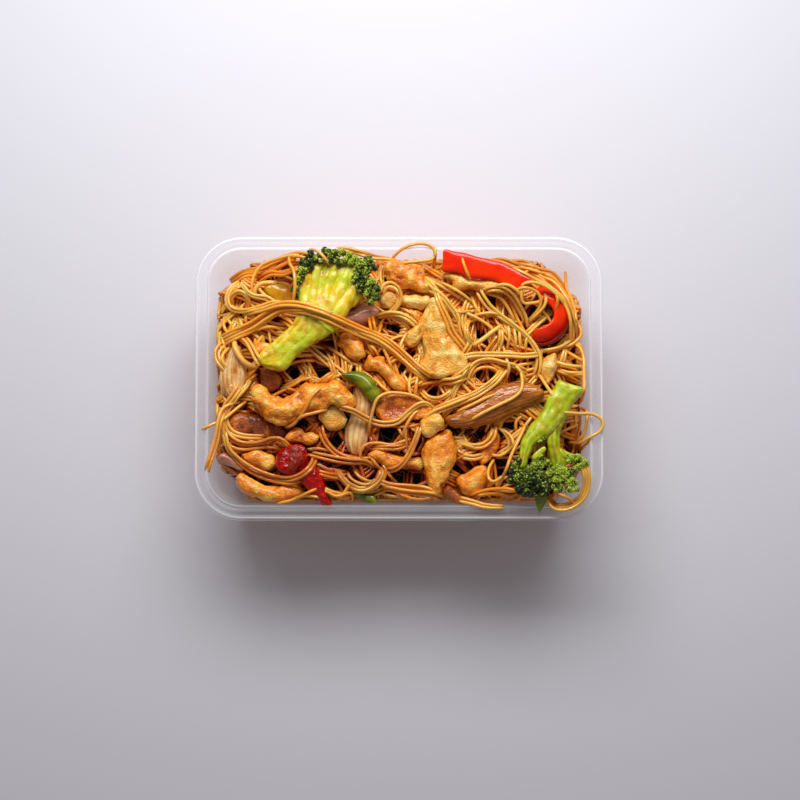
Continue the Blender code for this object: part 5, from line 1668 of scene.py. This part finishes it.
# Places in plan, half widths and depths of the dark hollows between the noodles
HOLLOWS: tuple[tuple[float, float, float, float], ...] = (
    (-55.0, -22.0, 4.5, 7.0), (-41.0, -19.5, 4.0, 7.0), (-55.0, -38.5, 4.0, 6.0), (-30.0, -33.0, 4.0, 6.0),
    (-33.0, -47.0, 3.0, 6.0), (-44.0, 3.0, 5.0, 7.0), (-34.0, 4.0, 3.2, 8.0), (-31.0, 16.0, 5.0, 8.0),
    (-12.0, 22.0, 3.5, 7.0), (-3.5, 20.5, 4.0, 7.0), (4.5, 10.5, 3.0, 7.0), (1.0, 5.0, 4.0, 6.0),
    (-27.0, -26.0, 5.0, 8.0), (-5.0, -23.5, 5.0, 8.0), (14.0, -6.0, 4.0, 6.0), (7.5, -27.0, 3.0, 8.0),
    (4.0, -41.5, 6.0, 6.0), (22.5, -21.5, 3.0, 8.0), (33.0, -22.5, 5.0, 7.0), (47.0, -19.5, 4.0, 7.0),
    (44.5, -37.0, 4.5, 7.0), (30.0, -37.0, 4.0, 7.0), (71.0, -30.5, 4.0, 6.0), (34.0, 19.5, 4.0, 8.0),
    (38.0, 31.5, 2.2, 5.0), (45.0, 29.0, 2.0, 4.0), (47.0, 0.0, 3.0, 6.0), (35.5, 1.5, 4.0, 6.0),
    (74.0, 9.5, 3.0, 5.0), (-67.5, 32.6, 2.0, 5.0), (-63.0, 8.0, 3.5, 6.0), (-66.0, -12.0, 4.0, 6.0),
    (-57.0, 42.0, 3.0, 4.0), (60.0, 33.5, 2.4, 3.0), (24.5, -37.5, 3.0, 6.0), (-20.5, -42.0, 3.0, 5.0),
)


class Lay(Enum):
    """How a noodle lies: among the others below the toppings, or on top of everything."""

    AMONG = "among"
    OVER = "over"


@dataclass
class NoodleHeap:
    """The noodles: a dark core, noodles laid on it at random, the seen runs, and those along the walls.

    A noodle's way in plan turns at a steady rate with a slower sway. Its height comes from letting it down
    on the heights below it: over a gap it sags a little at each step, and nowhere is it lower than what it
    rests on.
    """

    box: TakeawayBox
    radius: float = 0.71
    step: float = 0.95
    sides: int = 6
    edge_level: float = 36.0
    middle_level: float = 48.0
    half_length: float = 78.0
    half_width: float = 52.0
    core_depth: float = 7.0
    sag: float = 0.012
    candidates: int = 2600
    most: int = 950
    above: float = 1.0
    shortest: float = 20.0
    closer: float = 0.78
    flow_size: float = 26.0
    layers: int = 6
    piece_triangles: int = 180000
    wall_gap: float = 2.2
    core_gap: float = 2.6
    run_floor: float = 36.0
    core_sides: int = 240
    lining: int = 620
    lining_step: float = 1.5
    lining_low: float = 2.6
    lining_span: float = 35.0
    shortest_lining: int = 8
    wall_rings: int = 24
    top_rings: int = 110
    fill_passes: int = 150
    run_passes: int = 220
    blur_passes: int = 60
    corners: tuple[tuple[float, float, float, float], ...] = (
        (-84.0, -56.0, 20.0, 30.0), (84.0, -57.0, 18.0, 30.0),
        (-84.0, 58.0, 20.5, 26.0), (84.0, 58.0, 23.0, 26.0),
    )
    strands: list[Skin] = field(default_factory=list)

    def wanted_level(self, x: Array, y: Array) -> Array:
        """Height of the heap without its loose noodles: a flat dome with a dip at each corner."""
        dome = np.clip(1 - np.abs(x / self.half_length) ** 4, 0, 1)
        dome = dome * np.clip(1 - np.abs(y / self.half_width) ** 4, 0, 1)
        level = self.edge_level + (self.middle_level - self.edge_level) * np.sqrt(dome)
        level = level + 0.7 * np.sin(x / 5.1) * np.cos(y / 4.3) + 0.7 * np.sin((x + 2 * y) / 9.7)
        for place_x, place_y, reach, depth in self.corners:
            near = np.clip((1.2 * reach - np.hypot(x - place_x, y - place_y)) / (0.55 * reach), 0, 1)
            level = level - depth * near * near * (3 - 2 * near)
        for place_x, place_y, wide, depth in HOLLOWS:
            away = (x - place_x) ** 2 + (y - place_y) ** 2
            level = level - 0.8 * depth * np.exp(-away / (2 * (0.62 * wide) ** 2))
        return level

    def darkness(self, places: Array) -> Array:
        """How dark the noodles are at each place: darker to the left and to the front, and painted shade deep
        down.
        """
        x, y, z = places[..., 0], places[..., 1], places[..., 2]
        left = 0.08 + 0.22 / (1 + np.exp((x - 4 + 0.35 * y) / 9)) - 0.16 / (1 + np.exp((x + 58 - 0.2 * y) / 4))
        front = 0.32 / (1 + np.exp((y + 14) / 8)) / (1 + np.exp((-46 - y) / 1.5))
        front = front - 0.14 / (1 + np.exp((22 - y) / 6))
        # Painted shade: the deeper a noodle lies below the smoothed heap, the darker it is.
        deep = np.clip((self.wanted_flat.at(places) - 0.6 - z) / 5.5, 0, 1)
        return np.clip(left + front - 0.05 + (0.95 + 1.4 * front) * deep, 0, 1)

    def within(self, flat: Array, level: Array, depth: float) -> Array:
        """The places, with those outside the walls moved to the nearest that is inside.

        Args:
            flat: x and y in each row.
            level: the height of each place, as the walls slope.
            depth: how far in from the wall's inner side.

        Returns:
            The moved places.
        """
        radius = self.box.corner - self.box.wall_top_inset
        inset = self.box.inner_inset(level)[:, None] + depth
        core = np.array([self.box.length / 2, self.box.width / 2]) - radius - inset
        over = np.maximum(np.abs(flat) - core, 0)
        away = np.linalg.norm(over, axis=1, keepdims=True)
        over = over * np.minimum(1, radius / np.maximum(away, 1e-9))
        return np.sign(flat) * (np.minimum(np.abs(flat), core) + over)

    def held(self, flat: Array, level: Array, depth: float) -> Array:
        """The places moved as within does, and off the empty corners too."""
        flat = self.within(flat, level, depth)
        for place_x, place_y, reach, _ in self.corners:
            corner = np.array([place_x, place_y])
            away = flat - corner
            distance = np.linalg.norm(away, axis=1, keepdims=True)
            flat = corner + away / distance * np.maximum(distance, reach + depth)
        return flat

    def rim_way(self, count: int) -> Array:
        """Places at even steps along the box's outer edge, the last one like the first."""
        edge = self.box.outline(0.0, 0.0)[:, :2]
        return resample(np.vstack([edge, edge[:1]]), np.linspace(0, 1, count + 1))

    def core(self) -> Skin:
        """The core: rings up behind the noodles that line the walls, then rings towards the middle."""
        far = self.rim_way(self.core_sides)[:-1]
        floor = self.box.floor_level
        edge = self.held(far, np.full(len(far), self.edge_level - 8), self.core_gap)
        top = np.clip(self.ground.at(edge), floor + 2, self.edge_level - 4)
        walls = []
        for share in np.linspace(0, 1, self.wall_rings):
            level = floor + 0.1 + (top - floor - 0.1) * share
            walls.append(np.column_stack([self.held(far, level, self.core_gap), level]))
        rim = walls[-1][:, :2]
        tops = []
        for share in np.linspace(0.985, 0.02, self.top_rings):
            tops.append(np.column_stack([rim * share, np.maximum(self.ground.at(rim * share), floor + 2)]))
        rings = np.array(walls + tops)
        rings[self.wall_rings:, :, 2] += 0.5 * value_noise(rings[self.wall_rings:], 2.2, 31)
        bottom = (0, 0, float(walls[0][0, 2]))
        peak = (0, 0, float(rings[-1, :, 2].mean()))
        # Painted shade: the core is darker high up, between the noodles, and lighter low down and along the
        # walls.
        dark = 0.4 + 0.6 * np.clip((rings[..., 2] - 20) / 12, 0, 1)
        dark[:self.wall_rings] = 0.4
        return Skin.from_rings(rings, np.array([bottom, peak]), {"sauce": dark})

    def way(self, draw: np.random.Generator, seed: Array, layer: int) -> Array:
        """A noodle's way in plan through the seed.

        Args:
            draw: the source of chance.
            seed: the place in the middle of its way.
            layer: picks the flow that it follows, so that neighbours in one layer run alike.

        Returns:
            Its places.
        """
        aside, sway = draw.normal(0, 0.2), draw.uniform(0.05, 0.35)
        pace, phase = draw.uniform(5, 12), draw.uniform(0, TURN)
        base = TURN * 0.8 * float(value_noise(seed[None], self.flow_size, 100 + layer)[0]) + 1.3 * layer
        halves = []
        for side in (1.0, -1.0):
            along = np.arange(1, int(draw.uniform(22, 46) / self.step)) * self.step * side
            turn = base + aside + draw.normal(0, 0.03) * along + sway * np.sin(along / pace + phase)
            steps = side * self.step * np.stack([np.cos(turn), np.sin(turn)], axis=1)
            halves.append(seed + np.cumsum(steps, axis=0))
        return np.concatenate([halves[1][::-1], seed[None], halves[0]])

    def let_down(self, below: Array, passes: int) -> Array:
        """The height of a noodle that is let down on what is below it."""
        level = below.copy()
        for _ in range(passes):
            level[1:-1] = np.maximum(below[1:-1], (level[:-2] + level[2:]) / 2 - self.sag)
        return level

    def beside(self, path: Array, offset: float, draw: np.random.Generator) -> Array:
        """A way that runs beside another one, at a distance that changes a little."""
        slope = unit(np.gradient(path, axis=0))
        side = np.stack([-slope[:, 1], slope[:, 0]], axis=1)
        along = np.arange(len(path)) * self.step
        wobble = 0.3 * np.sin(along / draw.uniform(6, 13) + draw.uniform(0, TURN))
        return path + side * (offset + wobble)[:, None]

    def add(self, path: Array, radius: float, tone: float, heights: HeightMap, lay: Lay) -> None:
        """Lays one noodle.

        Args:
            path: its middle line.
            radius: its radius.
            tone: its colour from pale to amber.
            heights: the map that it is laid on.
            lay: how it lies.
        """
        heights.raise_round(path, radius)
        sauce = self.darkness(path) * (0.8 if lay is Lay.OVER else 1.0)
        ends = np.minimum(np.arange(len(path)), np.arange(len(path))[::-1])
        sides = self.sides + 2 * (lay is Lay.OVER)
        self.strands.append(self.strand(path, radius * np.where(ends < 1, 0.7, 1.0), sides, tone, sauce))

    @staticmethod
    def strand(path: Array, radius: Array, sides: int, tone: float, sauce: Array) -> Skin:
        """One noodle's surface, with the value under, for painted shade, from 0 on its top to 1 at its sides
        and below.
        """
        rings = rod_rings(path, radius, sides)
        slope = unit(np.gradient(path, axis=0))
        ends = [path[0] - slope[0] * radius[0] * 0.5, path[-1] + slope[-1] * radius[-1] * 0.5]
        under = np.clip(1 - (rings[..., 2] - path[:, None, 2]) / radius[:, None], 0, 1)
        values = {"tone": np.full(rings.shape[:2], tone), "sauce": sauce[:, None], "under": under}
        return Skin.from_rings(rings, np.array(ends), values)

    def free(self, path: Array) -> Array:
        """Where a way stays off the walls and out of the empty corners."""
        kept = self.box.kept_inside(path, self.box.wall_top_inset + self.wall_gap)
        inside = np.linalg.norm(kept - path, axis=1) < 4.5
        for place_x, place_y, reach, _ in self.corners:
            inside &= np.hypot(path[:, 0] - place_x, path[:, 1] - place_y) > reach
        return inside

    def fill(self, ceiling: HeightMap) -> HeightMap:
        """Lays noodles at random below the toppings until the wanted level is reached.

        Args:
            ceiling: heights of the toppings' undersides.

        Returns:
            The heights of the noodles.
        """
        draw = np.random.default_rng(5)
        heights = HeightMap(self.ground.level.copy())
        laid = 0
        for number in range(self.candidates):
            if laid >= self.most:
                break
            share = (0.5 + np.array([0.7548776662, 0.5698402910]) * number) % 1
            seed = (share - 0.5) * 2 * np.array([self.half_length - 3, self.half_width - 2])
            middle = self.way(draw, seed, number * self.layers // self.candidates)
            count = int(draw.choice([1, 2, 3, 4]))
            tone = draw.uniform(0.1, 0.8)
            for copy in range(count):
                path = self.beside(middle, 1.3 * (copy - (count - 1) / 2), draw)
                free = self.free(path)
                path = self.box.kept_inside(path, self.box.wall_top_inset + self.wall_gap)
                level = self.let_down(heights.at(path) + self.radius * 0.85, self.fill_passes)
                roof = ceiling.at(path) - self.radius
                level = np.minimum(level, roof)
                above = level - self.wanted.at(path)
                low = (above < self.above) & free
                centre = len(path) // 2
                if not low[centre]:
                    continue
                start, end = self.run_around(low, centre)
                if (end - start) * self.step < self.shortest:
                    continue
                level = level[start:end].copy()
                dip = np.minimum(np.arange(end - start), np.arange(end - start)[::-1]) * self.step
                level -= 1.6 * np.clip(1 - dip / 4, 0, 1) ** 2
                for _ in range(3):
                    level[1:-1] = (level[:-2] + level[1:-1] + level[2:]) / 3
                flat = self.held(path[start:end], level, self.radius * 0.8)
                self.add(np.column_stack([flat, level]), self.radius * draw.uniform(0.88, 1.06),
                         float(np.clip(tone + draw.normal(0, 0.12), 0, 1)), heights, Lay.AMONG)
                laid += 1
        return heights

    @staticmethod
    def run_around(free: Array, index: int) -> tuple[int, int]:
        """Start and end of the unbroken stretch of True that holds the index."""
        blocked = np.flatnonzero(~free)
        before = blocked[blocked < index]
        after = blocked[blocked > index]
        return int(before[-1] + 1 if len(before) else 0), int(after[0] if len(after) else len(free))

    def lay_runs(self, heights: HeightMap) -> None:
        """Lays the seen runs on top of noodles, toppings and rim."""
        draw = np.random.default_rng(9)
        for run in RUNS:
            middle = smooth_way(run.way, self.step)
            for copy in range(run.count):
                path = self.beside(middle, run.pitch * self.closer * (copy - (run.count - 1) / 2), draw)
                below = np.maximum(heights.at(path) + run.radius * 0.8, self.run_floor)
                level = self.let_down(below, self.run_passes)
                away = np.minimum(np.arange(len(path)), np.arange(len(path))[::-1]) * self.step
                level = level - run.dip * np.clip(1 - away / 5, 0, 1) ** 2
                for _ in range(4):
                    level[1:-1] = (level[:-2] + level[1:-1] + level[2:]) / 3
                tone = float(np.clip(run.tone + draw.normal(0, 0.08), 0, 1))
                inside = self.within(path, level, run.radius)
                path = np.where((level < self.box.height - 5)[:, None], inside, path)
                self.add(np.column_stack([path, level]), run.radius, tone, heights, Lay.OVER)

    def line_walls(self) -> None:
        """Lays noodles in two layers inside the walls, where they show through the plastic."""
        draw = np.random.default_rng(12)
        rim = self.rim_way(600)
        around = np.linspace(0, 1, len(rim))
        total = float(np.linalg.norm(np.diff(rim, axis=0), axis=1).sum())
        for number in range(self.lining):
            along = np.arange(0, draw.uniform(35, 85), self.lining_step)
            tilt = draw.normal(0, 0.22)
            share = (draw.uniform(0, 1) + along * math.cos(tilt) / total) % 1
            level = self.lining_low + self.lining_span * ((0.5 + GOLDEN_SHARE * number) % 1)
            level = level + along * math.sin(tilt)
            level = level + 1.8 * np.sin(along / draw.uniform(5, 12) + draw.uniform(0, TURN))
            level = np.clip(level, 2.4, 44.0)
            far = np.column_stack([np.interp(share, around, rim[:, axis]) for axis in (0, 1)])
            depth = self.radius * (0.75 if number % 5 < 3 else 2.3)
            path = np.column_stack([self.held(far, level, depth), level])
            low = level < self.wanted_flat.at(path) - 1.0
            if not low.any():
                continue
            start, end = self.run_around(low, int(np.flatnonzero(low)[low.sum() // 2]))
            if end - start < self.shortest_lining:
                continue
            sauce = np.full(end - start, draw.uniform(0.05, 0.4))
            radius = np.full(end - start, self.radius * 1.1)
            self.strands.append(self.strand(path[start:end], radius, 6, draw.uniform(0.2, 0.8), sauce))

    def prepare(self) -> None:
        """Works out the heights that the noodles start from and those that they reach."""
        x, y = HeightMap.places()
        level = self.wanted_level(x, y)
        self.wanted = HeightMap(level)
        kernel = HeightMap(level.copy())
        for _ in range(self.blur_passes):
            padded = np.pad(kernel.level, 1, mode="edge")
            kernel.level = (padded[:-2, 1:-1] + padded[2:, 1:-1] + padded[1:-1, :-2] + padded[1:-1, 2:]) / 4
        self.wanted_flat = kernel
        self.ground = HeightMap(level - self.core_depth)

    def add_rim(self, heights: HeightMap) -> None:
        """Raises the map to the box's rim, so that a noodle can cross it."""
        x, y = HeightMap.places()
        places = np.column_stack([x.ravel(), y.ravel()])
        inside = self.box.kept_inside(places, self.box.wall_top_inset)
        in_rim = (np.linalg.norm(places - inside, axis=1) > 0.2).reshape(x.shape)
        outer = self.box.kept_inside(places, 0.0)
        within = (np.linalg.norm(places - outer, axis=1) < 0.1).reshape(x.shape)
        heights.level[in_rim & within] = self.box.height
        heights.level[~within] = self.box.height - 3.0

    def build(self, ceiling: HeightMap, tops: HeightMap) -> list[bpy.types.Object]:
        """The noodles as pieces.

        Args:
            ceiling: heights of the toppings' undersides.
            tops: heights of the toppings' tops.

        Returns:
            The core, and the noodles in pieces of limited size.
        """
        self.prepare()
        material = NoodleFinish().material()
        heights = self.fill(ceiling)
        logging.info("noodles laid among the toppings: %d", len(self.strands))
        heights.level = np.maximum(heights.level, tops.level)
        self.add_rim(heights)
        self.lay_runs(heights)
        self.line_walls()
        made = [self.core().build("noodle_core", CoreFinish().material())]
        each = [len(strand.quads) * 2 + len(strand.triangles) for strand in self.strands]
        group = np.cumsum(each) // self.piece_triangles
        for number in range(int(group[-1]) + 1):
            parts = [strand for strand, place in zip(self.strands, group) if place == number]
            made.append(Skin.joined(parts).build(f"noodles_{number + 1}", material))
        for piece in made:
            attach(piece, ROOT)
            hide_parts("noodles")
        logging.info("noodles in all: %d, triangles: %d", len(self.strands), sum(each))
        return made


@dataclass(frozen=True)
class Studio:
    """A pale table under a large soft light from the far side, seen from nearly straight above."""

    aim: tuple[float, float, float] = (0.4, -9.6, 50.0)
    distance: float = 1050.0
    tilt: float = 5.0
    field_width: float = 334.8
    table_colour: tuple = paint(222, 221, 229)
    key_power: float = 3.1
    key_distance: float = 0.5
    key_height: float = 45.5
    key_sides: tuple[float, float] = (0.5, 0.22)
    sky: float = 0.2
    sky_colour: tuple[float, float, float, float] = (1.0, 0.95, 0.94, 1.0)

    def table(self) -> bpy.types.Object:
        """The table top."""
        mesh = bpy.data.meshes.new("table")
        edge = 2.5
        low = -0.0003
        corners_of_it = [(-edge, -edge, low), (edge, -edge, low), (edge, edge, low), (-edge, edge, low)]
        mesh.from_pydata(corners_of_it, [], [(0, 1, 2, 3)])
        graph = Graph("table")
        mesh.materials.append(graph.surface({"Base Color": self.table_colour, "Roughness": 0.6}))
        made = bpy.data.objects.new("table", mesh)
        bpy.context.scene.collection.objects.link(made)
        return made

    def lights(self) -> None:
        """The soft light and the sky."""
        light = bpy.data.lights.new("window", "AREA")
        light.shape = "RECTANGLE"
        light.size, light.size_y = self.key_sides
        light.energy = self.key_power
        light.color = (1.0, 1.0, 1.0)
        made = bpy.data.objects.new("window", light)
        height = math.radians(self.key_height)
        forward, upward = self.key_distance * math.cos(height), self.key_distance * math.sin(height)
        made.location = (0.0, forward, 0.05 + upward)
        made.rotation_euler = (height - TURN / 4, 0.0, 0.0)
        bpy.context.scene.collection.objects.link(made)
        world = bpy.data.worlds.new("sky")
        world.use_nodes = True
        background = world.node_tree.nodes["Background"]
        background.inputs["Color"].default_value = self.sky_colour
        background.inputs["Strength"].default_value = self.sky
        bpy.context.scene.world = world

    def camera(self) -> bpy.types.Object:
        """The camera."""
        lens = bpy.data.cameras.new("camera")
        lens.sensor_width = 36.0
        lens.lens = 36.0 * self.distance / self.field_width
        lens.clip_start, lens.clip_end = 0.05, 20.0
        made = bpy.data.objects.new("camera", lens)
        tilt = math.radians(self.tilt)
        place = np.array(self.aim) + self.distance * np.array([0.0, -math.sin(tilt), math.cos(tilt)])
        made.location = tuple(place * MM)
        made.rotation_euler = (tilt, 0.0, 0.0)
        bpy.context.scene.collection.objects.link(made)
        bpy.context.scene.camera = made
        return made

    def build(self) -> None:
        """Sets up table, light, camera and plain display colours."""
        self.table()
        self.lights()
        self.camera()
        bpy.context.scene.view_settings.view_transform = "Standard"


def build_toppings(ceiling: HeightMap, tops: HeightMap) -> int:
    """Builds every morsel and notes its heights.

    Args:
        ceiling: takes the undersides.
        tops: takes the tops.

    Returns:
        How many pieces there are.
    """
    materials: dict[str, bpy.types.Material] = {}
    pieces: Iterable[Union[Topping, Curl]] = (*TOPPINGS, *CURLS)
    for piece in pieces:
        finish = CHICKEN_LOOKS[piece.look] if piece.kind is Kind.CHICKEN else PEEL_LOOKS[piece.kind]
        if finish.name not in materials:
            materials[finish.name] = finish.material()
        skin = piece.skin()
        tops.raise_to(skin.points)
        ceiling.lower_to(skin.points)
        made = skin.build(f"{piece.node}_{piece.kind.name.lower()}", materials[finish.name])
        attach(made, ROOT)
        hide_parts(piece.node)
    return len(TOPPINGS) + len(CURLS)


def build_florets(ceiling: HeightMap, tops: HeightMap) -> int:
    """Builds both florets and notes their heights, as build_toppings does."""
    for floret in FLORETS:
        _, parts = floret.build()
        for part in parts:
            tops.raise_to(part.points)
            ceiling.lower_to(part.points)
    return len(FLORETS)


def corners(box: tuple) -> list[list[float]]:
    """A box's two corners as plain lists of numbers."""
    return [[round(float(value), 5) for value in corner] for corner in box]


def main() -> None:
    """Builds the box, the toppings and the noodles round them, and the table, light and camera."""
    logging.basicConfig(level=logging.INFO, format="%(message)s")
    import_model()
    box = TakeawayBox()
    box.build()
    logging.info("box built")
    x, _ = HeightMap.places()
    ceiling = HeightMap(np.full(x.shape, 500.0))
    tops = HeightMap(np.full(x.shape, -500.0))
    logging.info("toppings built: %d", build_toppings(ceiling, tops))
    logging.info("florets built: %d", build_florets(ceiling, tops))
    pieces = NoodleHeap(box).build(ceiling, tops)
    logging.info("pieces of noodle: %d", len(pieces))
    Studio().build()
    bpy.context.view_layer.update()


if __name__ == "__main__":
    main()
